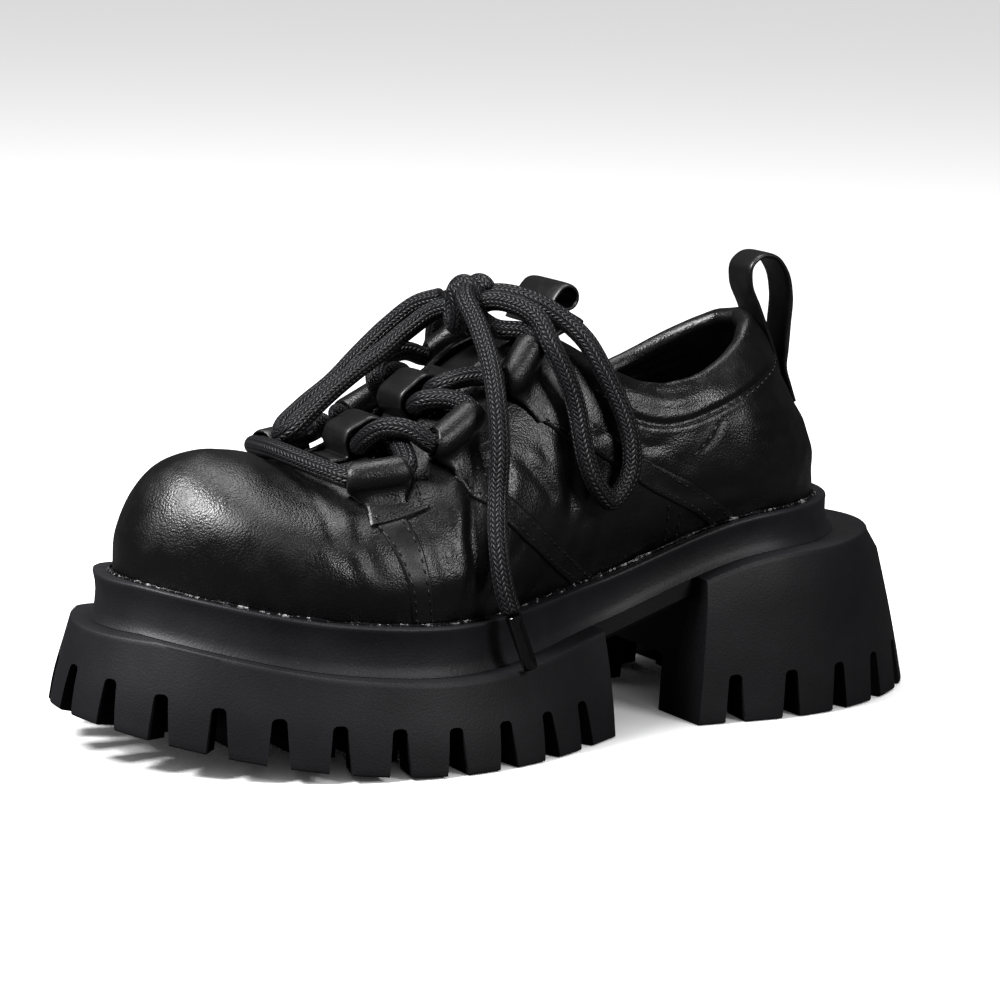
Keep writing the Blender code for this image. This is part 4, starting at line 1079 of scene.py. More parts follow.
# The same hide cut thinner for the straps: a little greyer along its folds, rubbed and painted
# lighter as a highlight.
STRAP_LEATHER = CalfLeather("strap_leather", "#050506", 0.39, rubbed_and_highlight="#161618", scratches=0.3)
# Corrected-grain leather with a pigment coat: smoother and more even than the rest.
SMOOTH_LEATHER = CalfLeather(
    "smooth_trim_leather", "#09090a", 0.38, rubbed_and_highlight="#232325", grain=0.8, grain_depth=0.03,
    scratches=0.2)
# Foamed rubber, injection moulded: the darker, duller outsole.
SOLE_RUBBER = MouldedRubber(
    "moulded_sole_rubber", "#121215", 0.55, dust="#2a2a2d", tooth=0.7, tooth_depth=0.09)
# Denser moulded rubber of the band: slightly lighter, so its hollow side takes a soft sheen.
BAND_RUBBER = MouldedRubber(
    "moulded_band_rubber", "#17171a", 0.5, dust="#37373b", tooth=0.8, tooth_depth=0.12)
# Polyester braided round a core: black, with a painted highlight of dark grey on its crowns.
LACE_BRAID = BraidedCord("braided_lace", "#010101", 0.4, light="#202023")
# Cotton twill glued to foam: takes up the light, so the inside stays dark.
LINING = Cloth("woven_lining", "#070708", 0.85)
# The same cloth, worn a little paler, over the insole board.
SOCK = Cloth("sock_cloth", "#0c0c0d", 0.9)
# Bonded polyester thread, drawn through wax: a dull black dot at each stitch.
THREAD = Shiny("waxed_thread", "#050505", 0.5, ripple=0.5, ripple_depth=0.05)
# Rubber cement, brushed on and dried: a wet-looking line with pale flecks painted on as glints.
GLUE = Shiny("dried_glue", "#101012", 0.25, ripple=1.6, ripple_depth=0.4, flecks="#b4b4b4")
# Cellulose film shrunk on with heat: the glossiest thing on the shoe.
FILM = Shiny("shrunk_film", "#09090a", 0.16, ripple=3.0, ripple_depth=0.1)


# ---- sole
@dataclass
class Sole:
    """Lugged outsole, the band over it and the line of glue under the upper."""

    edge_round: float = 0.7  # mm off the moulded edges
    shoulder: float = 8.0  # mm under the ledge, where the flared wall turns in
    heel_front: float = 71.0
    fore_back: float = 103.0
    web_thick: float = 8.0
    web_round: float = 2.0  # of its lower edge
    fore_rake: float = 0.03  # lean of the faces under the arch
    heel_rake: float = 0.11
    web_edge: Offsets = (3.6, 3.6, 3.6)
    web_lap: float = 12.0  # how far the web runs into the two units
    notch_height: float = 14.5
    notch_top: float = 4.8
    notch_foot: float = 7.0
    notch_cut: tuple[float, float] = (6.0, 2.0)  # a cutter's reach past the wall's two faces
    fore_notches: float = 118.0  # x of the last notch of the forefoot unit
    heel_notches: float = 58.3  # x of the first notch of the heel block
    heel_gap: float = 15.0  # from the middle of the heel's back to the notch beside it
    pitch: float = 18.5  # between the notches of the forefoot unit
    heel_pitch: float = 20.4
    wall: float = 13.0
    recess: float = 12.5
    floor_cut: float = 5.0  # how far the hollows' cutter starts under the tread
    mouth_y: tuple[float, float] = (-20.0, 24.0)  # the heel hollow's open front
    mouth_top: float = 18.0
    bar_thick: float = 10.0
    bar_inset: float = 6.0
    fore_bars: float = 14.0  # from the hollow's back to the first bar
    heel_bars: float = 26.0  # from the hollow's front to the first bar
    heel_bars_end: float = -8.0
    band_top: Offsets = (4.2, 4.2, 1.4)
    band_waist: Offsets = (3.5, 3.5, 1.9)
    band_foot: Offsets = (4.2, 4.2, 4.0)
    glue_edge: Offsets = (0.3, -0.6, -2.2)
    glue_radius: float = 0.55

    def build(self) -> list[Piece]:
        """Makes and dresses the pieces of the sole."""
        return [self.outsole(), self.band(), self.glue_line(), self.sock()]

    def outsole(self) -> Piece:
        """Forefoot unit, heel block and the web between them, moulded as one.

        Returns:
            The piece.
        """
        last = LAST
        fore = self.block("lugged_outsole")
        self.cut_off(fore, (self.fore_back, 0, 0), (-1, 0, self.fore_rake))
        heel = self.block("heel_half")
        self.cut_off(heel, (self.heel_front, 0, 0), (1, 0, self.heel_rake))
        web = self.solid("web_half", [
            last.edge(moved(self.web_edge, -self.web_round), last.ledge_height, self.web_thick),
            last.edge(self.web_edge, last.ledge_height, self.web_thick - self.web_round),
            last.edge(self.web_edge, last.ledge_height, 0.02),
        ])
        self.cut_off(web, (self.fore_back + self.web_lap, 0, 0), (1, 0, 0))
        self.cut_off(web, (self.heel_front - self.web_lap, 0, 0), (-1, 0, 0))
        combine(fore, heel, "UNION")
        combine(fore, web, "UNION")
        for start, way in ((self.fore_back + self.wall, -1), (self.heel_front - self.wall, 1)):
            hollow = self.solid("hollow", [
                self.tread_ring(self.wall, -self.floor_cut), self.tread_ring(self.wall, self.recess)
            ])
            self.cut_off(hollow, (start, 0, 0), (way, 0, 0))
            combine(fore, hollow, "DIFFERENCE")
        self.cut_notches(fore)
        self.add_bars(fore)
        apply_modifier(
            fore, "BEVEL", width=self.edge_round * MM, segments=2, limit_method="ANGLE",
            angle_limit=math.radians(40), use_clamp_overlap=True, harden_normals=False)
        bpy.ops.object.shade_smooth_by_angle(angle=math.radians(35))
        apply_modifier(fore, "WEIGHTED_NORMAL", keep_sharp=True, weight=80)
        return dress(fore, SOLE_RUBBER, "rubber", "outsole")

    def solid(self, name: str, rings: list[np.ndarray]) -> Piece:
        """A closed block through rings, its two ends zipped along their middles."""
        ends = [(r + np.roll(r[::-1], 1, axis=0)) / 2 for r in (rings[0], rings[-1])]
        return loft(name, np.array([ends[0], *rings, ends[1]]))

    def block(self, name: str) -> Piece:
        """The whole outline as one flared block, before it is cut to length.

        Args:
            name: Name of the block.

        Returns:
            The block.
        """
        last, round_ = LAST, self.edge_round
        waist = [(a * 0.25 + b * 0.75) + 0.3 for a, b in zip(last.tread, last.ledge)]
        foot = [  # move out and drop of the rounded lower edge, from the floor up
            last.edge(moved(last.tread, -share * round_), last.floor_height, -up * round_)
            for share, up in ((1.0, 0.0), (0.3, 0.3), (0.0, 1.0))
        ]
        wall = [
            last.edge(
                [a + (b - a) * t + 0.5 * math.sin(math.pi * t) for a, b in zip(last.tread, waist)],
                lambda x, t=t: (last.floor_height(x) + round_) * (1 - t)
                + (last.ledge_height(x) - self.shoulder) * t)
            for t in (0.1, 0.22, 0.34, 0.46, 0.58, 0.7, 0.85)
        ]
        top = [  # the rounded upper edge: move in and drop
            last.edge(moved(last.ledge, -inwards), last.ledge_height, drop)
            for inwards, drop in ((0.0, 1.6), (0.25, 0.6), (0.7, 0.15), (1.4, 0.0))
        ]
        shoulder = last.edge(waist, last.ledge_height, self.shoulder)
        return self.solid(name, [*foot, *wall, shoulder, *top])

    def tread_ring(self, inset: float, lift: float) -> np.ndarray:
        """The tread's outline moved inwards and lifted."""
        return LAST.edge(moved(LAST.tread, -inset), lambda x: LAST.floor_height(x) + lift)

    def cut_off(self, piece: Piece, point: tuple, normal: tuple) -> None:
        """Cuts away what lies beyond a plane and closes the cut.

        Args:
            piece: What is cut.
            point: A point of the plane, in mm.
            normal: Towards what goes.
        """
        with editing(piece):
            bpy.ops.mesh.bisect(
                plane_co=to_metres(point), plane_no=normal, use_fill=True, clear_outer=True)

    def cut_notches(self, piece: Piece) -> None:
        """Cuts the arched notches between the lugs, along the edge of the tread.

        Args:
            piece: The outsole.
        """
        right, left = self.mouth_y
        top = self.mouth_top
        outline = ((right, -4), (left, -4), (left - 2, top), (right + 2, top))
        mouth = [
            [(x, y, z) for y, z in outline]
            for x in (self.heel_front - self.wall - 4, self.heel_front + 6)
        ]
        combine(piece, loft("mouth", np.array(mouth, float)), "DIFFERENCE")
        tread = LAST.edge(LAST.tread, LAST.floor_height)
        loop = np.concatenate([tread, tread[:1]])
        arc, half = along(loop[:, :2]), len(tread) // 2
        fore, heel = (
            (float(np.interp(x, loop[: half + 1, 0], arc[: half + 1])),
             float(np.interp(-x, -loop[half:, 0], arc[half:])))
            for x in (self.fore_notches, self.heel_notches)
        )
        heel_height = self.notch_height + 1.0
        for first, last, height, pitch in (
            (*fore, self.notch_height, self.pitch),
            (self.heel_gap, heel[0], heel_height, self.heel_pitch),
            (heel[1], float(arc[-1]) - self.heel_gap, heel_height, self.heel_pitch),
        ):
            number = round((last - first) / pitch) + 1
            cutters = []
            for at in np.linspace(first, last, number):
                here, ahead, behind = (
                    np.array([np.interp(at + d, arc, loop[:, k]) for k in range(3)])
                    for d in (0, 3, -3)
                )
                way = unit((ahead - behind) * [1, 1, 0])
                cutters.append(self.notch(here, way, height))
            combine(piece, joined(cutters, "notches"), "DIFFERENCE")

    def notch(self, here: np.ndarray, way: np.ndarray, height: float) -> Piece:
        """One arched cutter that runs inwards from a place on the tread's edge.

        Args:
            here: The place.
            way: Direction along the edge.
            height: Of the notch over the tread.

        Returns:
            The cutter.
        """
        out, top, radius = np.array([-way[1], way[0], 0.0]), here[2] + height, self.notch_top / 2
        turns = np.linspace(0, math.pi, 11)
        outline = [(-self.notch_foot / 2 - 0.3, here[2] - 3.0)]
        outline += [
            (-radius * math.copysign(abs(math.cos(t)) ** 0.7, math.cos(t)),
             top + radius * (abs(math.sin(t)) ** 0.7 - 1))
            for t in turns
        ]
        outline += [(self.notch_foot / 2 + 0.3, here[2] - 3.0)]
        base = here * [1, 1, 0]
        outside, inside = self.notch_cut
        rings = [
            [base + out * depth + way * a + [0, 0, z] for a, z in outline]
            for depth in (outside, -self.wall - inside)
        ]
        return loft("notch", np.array(rings))

    def add_bars(self, piece: Piece) -> None:
        """Tread bars across the hollows.

        Args:
            piece: The outsole.
        """
        inner = self.tread_ring(self.wall + self.bar_inset, 0.0)
        half, reach = len(inner) // 2, self.bar_thick / 2
        first = self.fore_back + self.wall + self.fore_bars
        fore = np.arange(first, LAST.length - 1.0, self.pitch)
        first = self.heel_front - self.wall - self.heel_bars
        heel = np.arange(first, self.heel_bars_end, -self.pitch)
        for x in (*fore, *heel):
            y1 = np.interp(x, inner[: half + 1, 0], inner[: half + 1, 1])
            y2 = np.interp(-x, -inner[half:, 0], inner[half:, 1])
            foot, top = LAST.floor_height(x + reach), LAST.floor_height(x) + self.recess + 1.0
            corners = ((x - reach, y1), (x + reach, y1), (x + reach, y2), (x - reach, y2))
            rings = [[(*corner, z) for corner in corners] for z in (foot, top)]
            combine(piece, loft("bar", np.array(rings, float)), "UNION")

    def band(self) -> Piece:
        """Hollow-sided band round the foot bed, with a rounded lip along its top.

        Returns:
            The piece.
        """
        last, foot, waist, top = LAST, self.band_foot, self.band_waist, self.band_top
        low = [p * 0.4 + q * 0.6 for p, q in zip(foot, waist)]
        high = [p * 0.7 + q * 0.3 for p, q in zip(waist, top)]
        profile = (  # offsets, share of the way from the ledge to the feather line, and drop
            (moved(foot, -0.8), 0.0, -0.1),
            (moved(foot, 1.1), 0.0, -0.15),
            (moved(foot, 0.9), 0.0, -0.5),
            (moved(foot, 0.2), 0.0, -1.5),
            (low, 0.25, -0.3),
            (waist, 0.5, -0.6),
            (high, 0.75, 0.0),
            (top, 1.0, 1.6),
            (moved(top, 0.15), 1.0, 0.8),
            (top, 1.0, 0.25),
            (moved(top, -0.35), 1.0, 0.0),
            (moved(top, -3.0), 1.0, 0.2),
        )
        rings = [
            last.edge(
                offsets,
                lambda x, t=up: last.ledge_height(x) * (1 - t) + last.feather_height(x) * t, drop)
            for offsets, up, drop in profile
        ]
        piece = loft("midsole_band", np.array(rings), crease_angle=50)
        return dress(piece, BAND_RUBBER, "rubber", "midsole")

    def glue_line(self) -> Piece:
        """Uneven, shiny bead where the upper meets the band.

        Returns:
            The piece.
        """
        line = LAST.edge(self.glue_edge, LAST.feather_height, -0.2, count=420)
        rings = tube_rings(np.concatenate([line, line[:1]]), self.glue_radius, 6)
        for i, ring in enumerate(rings):
            middle = ring.mean(0)
            slow, quick = (noise.noise(Vector(middle) * scale) for scale in (0.21, 0.9))
            rings[i] = middle + (ring - middle) * max(0.7 + 0.9 * slow + 0.5 * quick, 0.25)
        piece = loft("glue_line", rings)
        return dress(piece, GLUE, "rubber")

    def sock(self) -> Piece:
        """Insole board with its sock.

        Returns:
            The piece.
        """
        piece = copy_of("insole", "sock_insole")
        bpy.ops.object.shade_smooth_by_angle(angle=math.radians(40))
        return dress(piece, SOCK, "sock", "insole")


def tube_rings(line: np.ndarray, radius: float | np.ndarray, around: int) -> np.ndarray:
    """Rings of points round a line, with a frame that does not twist.

    Args:
        line: Middle line, in mm.
        radius: One radius, or one for each point.
        around: Points in a ring.

    Returns:
        Array of rings, points and coordinates.
    """
    tangent = unit(np.gradient(line, axis=0))
    start = np.array([0.0, 0.0, 1.0])
    side = np.empty_like(line)
    side[0] = unit(start - tangent[0] * (start @ tangent[0]))
    for i in range(1, len(line)):
        side[i] = unit(side[i - 1] - tangent[i] * (side[i - 1] @ tangent[i]))
    other = np.cross(tangent, side)
    angle = np.linspace(0, 2 * math.pi, around, endpoint=False)
    radius = np.broadcast_to(np.asarray(radius, float), len(line))
    return (
        line[:, None]
        + radius[:, None, None] * (np.cos(angle)[None, :, None] * side[:, None]
                                   + np.sin(angle)[None, :, None] * other[:, None])
    )


def ribbon_rings(
    line: np.ndarray, side: np.ndarray, width: float, thickness: float, around: int = 28
) -> np.ndarray:
    """Rounded flat sections along a line.

    Args:
        line: Middle line, in mm.
        side: Direction across the ribbon.
        width: Across the ribbon.
        thickness: Of the ribbon.
        around: Points in a section.

    Returns:
        Array of rings, points and coordinates.
    """
    tangent = unit(np.gradient(line, axis=0))
    side = np.broadcast_to(side, line.shape)
    side = unit(side - tangent * (side * tangent).sum(1, keepdims=True))
    out = np.cross(tangent, side)
    angle = np.linspace(0, 2 * math.pi, around, endpoint=False)
    flat = np.sign(np.cos(angle)) * np.abs(np.cos(angle)) ** 0.35 / 2
    tall = np.sign(np.sin(angle)) * np.abs(np.sin(angle)) ** 0.7 / 2
    return (
        line[:, None]
        + width * flat[None, :, None] * side[:, None]
        + thickness * tall[None, :, None] * out[:, None]
    )


def copies(name: str, frames: np.ndarray, segments: int = 6) -> Piece:
    """Many small rounded grains in one mesh.

    Args:
        name: Name of the piece.
        frames: For each grain its middle and its three half axes, in mm.
        segments: Faces round a grain.

    Returns:
        The piece.
    """
    bpy.ops.object.select_all(action="DESELECT")
    bpy.ops.mesh.primitive_uv_sphere_add(segments=segments, ring_count=5, radius=1.0)
    piece = bpy.context.active_object
    piece.name = piece.data.name = name
    apply_modifier(piece, "ARRAY", count=len(frames), use_relative_offset=False)
    grain = coordinates(piece.data).reshape(len(frames), -1, 3)
    placed = frames[:, :1]
    for axis in range(3):
        placed = placed + grain[..., axis : axis + 1] * frames[:, axis + 1 : axis + 2]
    place_points(piece.data, placed)
    select_only(piece)
    bpy.ops.object.shade_smooth()
    return piece


# ---- lace
@dataclass
class Tongue:
    """Padded tongue, its keeper strip and its pull loop."""

    toe: float = 206.0
    facing: float = 122.0
    sink: float = 1.4
    top: Points = table((112.0, 9.6, 123.4), (104.0, 11.2, 127.0), (97.0, 11.6, 129.4))
    fill: float = 0.6
    leaf_angle: float = math.radians(60)  # under which two of the leaf's triangles make a quad
    leaf_levels: int = 3
    keepers: tuple[float, float] = (169.0, 149.5)
    keeper_width: float = 15.0
    keeper_thick: float = 1.8
    keeper_arch: Points = table((7.9, 0.0), (7.8, 4.4), (5.9, 7.0), (0.0, 7.9))
    keeper_end: float = 6.0
    pull: tuple[float, float, float] = (102.6, 133.6, 4.6)  # x, z and radius of the roll
    pull_turns: tuple[int, int, int] = (40, 300, 12)  # degrees: from, to and step
    pull_width: float = 23.0
    pull_tail: float = 9.0
    pull_thick: float = 1.9

    def __post_init__(self) -> None:
        """Works out the middle line of the tongue and its arc."""
        self.line_x = np.linspace(self.toe, self.facing, 200)
        self.line = np.array([self.middle(x) for x in self.line_x])
        arc = along(self.line)
        self.arc = arc - np.interp(-self.keepers[0], -self.line_x, arc)

    def middle(self, top_x: float) -> np.ndarray:
        """Point of the middle of the tongue's top face."""
        top_z = smooth(LAST.rib_keys, LAST.rib_values, LAST.share_of_top(top_x))[2]
        return np.array([top_x, float(LAST.centre_line(top_x)), top_z - self.sink])

    def over(self, arc: float, lift: float, y: float = 0.0) -> np.ndarray:
        """Point over the tongue at an arc length from the first keeper.

        Args:
            arc: The arc length.
            lift: Height over the tongue.
            y: Distance to the side.

        Returns:
            The point.
        """
        top_x = float(np.interp(arc, self.arc, self.line_x))
        way = self.middle(top_x + 2) - self.middle(top_x - 2)
        normal = unit(np.array([-way[2], 0, way[0]]))
        return self.middle(top_x) + normal * lift + [0, y, 0]

    def keeper_arc(self, number: int) -> float:
        """Arc length of a keeper's middle."""
        return float(np.interp(-self.keepers[number], -self.line_x, self.arc))

    def build(self) -> list[Piece]:
        """Makes and dresses the pieces of the tongue."""
        return [self.leaf(), self.keeper_strip(), self.pull_loop()]

    def leaf(self) -> Piece:
        """The padded leaf.

        Returns:
            The piece.
        """
        piece = copy_of("tongue", "tongue_leaf")
        with editing(piece):
            bpy.ops.mesh.tris_convert_to_quads(
                face_threshold=self.leaf_angle, shape_threshold=self.leaf_angle)
        levels = self.leaf_levels
        apply_modifier(piece, "SUBSURF", levels=levels, render_levels=levels)
        bpy.ops.object.shade_smooth()
        return dress(piece, UPPER_LEATHER, "leather", "tongue")

    def keeper_strip(self) -> Piece:
        """One strip with two arches, each over two strands.

        Returns:
            The piece.
        """
        second = self.keeper_arc(1)
        rising, falling = self.keeper_arch, self.keeper_arch[-2::-1]
        arch = [(-s, z) for s, z in rising] + [(s, z) for s, z in falling]
        reach = self.keeper_arch[0][0] + self.keeper_end
        both = arch + [(s + second, z) for s, z in arch]
        inner = [(-reach, 0.0), *both, (second + reach, 0.0)]
        lift = GAP + 0.1 + self.keeper_thick / 2
        profile = curve_through([(s, z + lift) for s, z in inner], 150)
        line = np.array([self.over(s, z) for s, z in profile])
        rings = ribbon_rings(line, ACROSS, self.keeper_width, self.keeper_thick)
        return dress(loft("keeper_strip", rings), SMOOTH_LEATHER, "leather", "lace_keeper")

    def pull_loop(self) -> Piece:
        """Rolled tab across the top of the tongue.

        Returns:
            The piece.
        """
        x, z, radius = self.pull
        radius -= self.pull_thick / 2
        xs, _, zs = (np.array(c) for c in zip(*self.top[::-1]))
        foot_x = x + self.pull_tail
        path = [(foot_x, float(np.interp(foot_x, xs, zs)) + GAP + 0.3 + self.pull_thick / 2)]
        turns = np.radians(np.arange(*self.pull_turns))
        path += [(x + radius * math.cos(t), z + radius * math.sin(t)) for t in turns]
        path = curve_through(path, 90)
        middle = np.full(len(path), float(LAST.centre_line(x)))
        line = np.column_stack([path[:, 0], middle, path[:, 1]])
        rings = ribbon_rings(line, ACROSS, self.pull_width, self.pull_thick)
        return dress(loft("tongue_tab", rings), SMOOTH_LEATHER, "leather", "tongue_pull_loop")


@dataclass
class Facings:
    """Folded loops on the facings that carry the lace."""

    places: Points = table(  # front top_x, front share, back top_x, back share
        (183.6, 0.707, 173.4, 0.716),
        (157.4, 0.774, 148.2, 0.804),
        (132.0, 0.852, 124.6, 0.903),
    )
    radius: float = 5.2
    bore: float = 3.7
    tail: float = 11.0
    fold: tuple[int, int, int] = (24, 321, 6)  # degrees round the lace: from, to and step
    flap_at: tuple[float, ...] = (0.0, 0.3, 0.65, 0.9)  # shares from the hem up to the fold
    flap_lift: tuple[float, float] = (0.35, 0.6)  # mm at the hem, and more at the fold
    rib_mm: float = 95.0  # height of a rib that the tail's length is turned into a share of
    path_points: int = 96  # from the hem round the fold
    sections: int = 34
    reach: tuple[float, float, float] = (8.6, 9.0, 8.0)  # half of the length that each covers
    hems: Points = table(  # the flap's sewn end: front top_x and share, back top_x and share
        (184.2, 0.487, 167.4, 0.553),
        (157.2, 0.61, 149.2, 0.61),
        (130.2, 0.67, 117.6, 0.66),
    )

    def axis(self, side: Side, number: int) -> np.ndarray:
        """Front and back end of a loop's middle line.

        Args:
            side: Side of the shoe.
            number: Which loop, from the toe.

        Returns:
            The two ends, one row each.
        """
        ends = np.array(self.places[number]).reshape(2, 2)
        lift = self.radius + GAP + 0.15
        return np.array([PLAIN.at(side, top_x, up, lift) for top_x, up in ends])

    def build(self, run: np.ndarray) -> list[Piece]:
        """Makes and dresses the six loops.

        Args:
            run: Middle line of the lace that passes through them.

        Returns:
            The pieces.
        """
        numbers = range(len(self.places))
        return [self.folded_loop(side, number, run) for side in Side for number in numbers]

    def folded_loop(self, side: Side, number: int, run: np.ndarray) -> Piece:
        """A flap of leather folded round the lace and sewn down to the facing.

        Args:
            side: Side of the shoe.
            number: Which loop, from the toe.
            run: Middle line of the lace.

        Returns:
            The piece.
        """
        front_x, front_up, back_x, back_up = self.places[number]
        hem_front, hem_back = np.array(self.hems[number]).reshape(2, 2)
        axis = self.axis(side, number)
        arc, centre = along(run), axis.mean(0)
        middle_at = arc[np.linalg.norm(run - centre, axis=1).argmin()]
        shares = np.linspace(0, 1, self.sections)
        at = middle_at + (shares - 0.5) * 2 * self.reach[number]
        line = np.stack([np.interp(at, arc, run[:, k]) for k in range(3)], 1)
        if (line[-1] - line[0]) @ (axis[1] - axis[0]) < 0:
            line = line[::-1]
        ways = unit(np.gradient(line, axis=0))
        middle_radius, thick = (self.radius + self.bore) / 2, self.radius - self.bore
        turns = np.radians(np.arange(*self.fold))
        in_fold = self.path_points * 2 // 3
        lift, more = self.flap_lift
        rings = []
        for share, middle, way in zip(shares, line, ways):
            rib_x = front_x * (1 - share) + back_x * share
            rib_up = front_up * (1 - share) + back_up * share
            tail_up = rib_up - self.tail / self.rib_mm
            down = LAST.at(side, rib_x, tail_up, 1.2) - middle
            down = unit(down - way * (down @ way))
            up = np.cross(way, down)
            up = up if up @ PLAIN.skin_at(PLAIN.normals[side], rib_x, rib_up) > 0 else -up
            fold = [middle + middle_radius * (math.cos(t) * down + math.sin(t) * up) for t in turns]
            hem_x, hem_up = hem_front * (1 - share) + hem_back * share
            flap = [
                LAST.at(side, hem_x * (1 - t) + rib_x * t, hem_up * (1 - t) + tail_up * t,
                        lift + more * t)
                for t in self.flap_at
            ]
            path = curve_through(np.array([*flap, *fold]), self.path_points)
            slope = unit(np.gradient(path, axis=0))
            out = unit(np.cross(slope, way))
            out = out if out[in_fold] @ (path[in_fold] - middle) > 0 else -out
            half = thick / 2 * math.sqrt(max(1 - (2 * share - 1) ** 10, 0.02))
            rings.append(np.concatenate([path + out * half, (path - out * half)[::-1]]))
        name = f"loop_{side.tag}_{number + 1}"
        piece = loft(f"facing_{name}", np.array(rings), crease_angle=60)
        return dress(piece, STRAP_LEATHER, "leather", f"lace_{name}")


@dataclass
class Laces:
    """Braided lace: the run through the loops, the knot, the bow and the ends."""

    tongue: Tongue
    facings: Facings
    diameter: float = 6.2
    run: float = 3.0  # straight run beyond each end of a loop
    lane: float = 3.6  # from a keeper's middle to each of the two strands under it
    edge_rise: float = 3.2
    bend: float = 5.0  # length over which the run's corners are eased
    step: float = 0.7
    around: int = 24
    round_end: float = 1.2
    aglet: tuple[float, float] = (5.0, 18.0)  # width and length
    knot: tuple[float, float, float] = (132.6, 0.6, 131.6)
    knot_size: tuple[float, float, float, float] = (4.6, 6.4, 2.1, 5.6)  # wide, tall, turns, pitch
    start_outer: Points = table(
        (131.4, 4.6, 128.6), (127.2, 11.8, 124.6), (122.0, 15.6, 124.8), (119.0, 20.0, 123.6),
    )
    start_inner: Points = table(
        (118.6, -17.6, 122.8), (121.4, -13.6, 124.6), (126.6, -11.0, 124.4),
        (131.0, -4.0, 127.6),
    )
    bar: Points = table(
        (190.9, 26.8, 86.2), (193.4, 20.5, 87.2), (195.8, 12.5, 88.5), (197.3, 5.0, 89.3),
        (197.8, -1.8, 89.6),
    )
    bow_outer: Points = table(
        (130.6, 2.4, 134.0), (124.0, 4.8, 135.2), (113.8, 14.2, 132.4), (107.4, 20.5, 127.2),
        (103.6, 26.0, 121.7), (100.6, 30.5, 114.1), (97.4, 33.6, 106.2), (94.9, 36.3, 98.3),
        (93.7, 38.2, 90.4), (94.4, 39.2, 82.4), (97.6, 39.6, 76.6), (101.8, 40.0, 73.6),
        (106.7, 40.2, 78.1), (110.3, 39.0, 86.3), (111.5, 37.4, 93.6), (112.3, 35.4, 102.0),
        (115.4, 33.4, 112.7), (118.6, 30.0, 121.8), (120.2, 23.2, 129.8), (124.2, 14.6, 133.2),
        (128.0, 8.6, 133.4), (131.8, 4.0, 131.0),
    )
    bow_inner: Points = table(
        (134.8, -4.4, 130.4), (138.6, -8.6, 128.4), (146.5, -11.4, 122.6),
        (155.0, -11.2, 116.8), (165.8, -10.8, 110.4), (174.8, -10.6, 104.2),
        (182.0, -10.6, 98.4), (187.4, -11.6, 93.4), (188.4, -15.2, 91.4), (186.0, -19.4, 93.0),
        (178.0, -21.4, 98.6), (167.0, -22.0, 105.8), (157.0, -22.4, 114.4),
        (148.0, -21.2, 122.4), (140.2, -16.6, 129.6), (135.0, -9.0, 132.8),
    )
    end_outer: Points = table(
        (134.6, 4.4, 136.6), (137.9, 9.3, 135.2), (139.6, 20.0, 128.2), (141.0, 30.5, 118.0),
        (143.0, 38.6, 106.1), (144.4, 43.2, 93.6), (146.4, 46.0, 80.9), (148.9, 50.2, 72.0),
        (150.4, 54.6, 62.0), (149.6, 57.0, 52.0), (147.6, 58.0, 45.6),
    )
    end_inner: Points = table(
        (129.8, -3.4, 131.4), (129.0, -8.4, 131.2), (127.2, -22.0, 129.0),
        (125.0, -31.0, 119.6), (122.4, -36.0, 106.4), (120.6, -38.0, 92.0),
        (121.4, -42.4, 80.0), (123.2, -45.8, 70.0), (125.4, -48.2, 61.0),
    )

    def build(self) -> list[Piece]:
        """Makes and dresses the lace, its free cords first.

        Returns:
            The pieces.
        """
        pieces = [self.free_cord("knot", self.knot_line(), "object", "loose")]
        for name, control in (("bow_outer", self.bow_outer), ("bow_inner", self.bow_inner)):
            pieces.append(self.free_cord(name, self.even(control), "object", "loose"))
        for side, control in (("outer", self.end_outer), ("inner", self.end_inner)):
            line = self.even(control)
            tip = self.tip(side, line)
            pieces += [tip, self.free_cord(f"end_{side}", line, "fitting", "hanging", tip)]
        run = self.tube("lace_run", self.run_line())
        return [*pieces, dress(run, LACE_BRAID, "lace", "lace_crossings")]

    def even(self, control: Points) -> np.ndarray:
        """Fine evenly spaced points on the curve that the part's coarser ones lie on."""
        length = along(np.array(control))[-1]
        return curve_through(control, max(3, round(length / self.step)))

    def knot_line(self) -> np.ndarray:
        """A short coil round an axis that runs along the shoe.

        Returns:
            Its middle line.
        """
        x, y, z = self.knot
        wide, tall, turns, pitch = self.knot_size
        start = 0.1  # share of a turn
        turn = np.linspace(start, start + turns, 130)
        angle = 2 * math.pi * turn
        return np.column_stack(
            [x + pitch * (turn - turn.mean()), y + wide * np.cos(angle), z + tall * np.sin(angle)])

    def tube(self, name: str, line: np.ndarray) -> Piece:
        """A braided tube along a line, with rounded ends.

        Args:
            name: Name of the piece.
            line: Its middle line.

        Returns:
            The piece.
        """
        length = along(line)
        radius = np.full(len(line), self.diameter / 2)
        from_end = np.minimum(length, length[-1] - length) / self.round_end
        cap = np.clip(1 - (1 - from_end) ** 2, 0.1, 1)
        radius *= np.sqrt(np.where(from_end < 1, cap, 1.0))
        rings = tube_rings(line, radius, self.around)
        return loft(name, rings, uv_size=(1.0, length[-1]), crease_angle=60)

    def free_cord(self, name: str, line: np.ndarray, far_end: str, lay: str, *tip: Piece) -> Piece:
        """One cord from the knot outwards.

        Args:
            name: Name of the piece; its node's name starts with lace_.
            line: Its middle line, knot first.
            far_end: Not used.
            lay: Not used.
            tip: Not used.

        Returns:
            The piece.
        """
        piece = self.tube(name, line)
        return dress(piece, LACE_BRAID, "lace", f"lace_{name}")

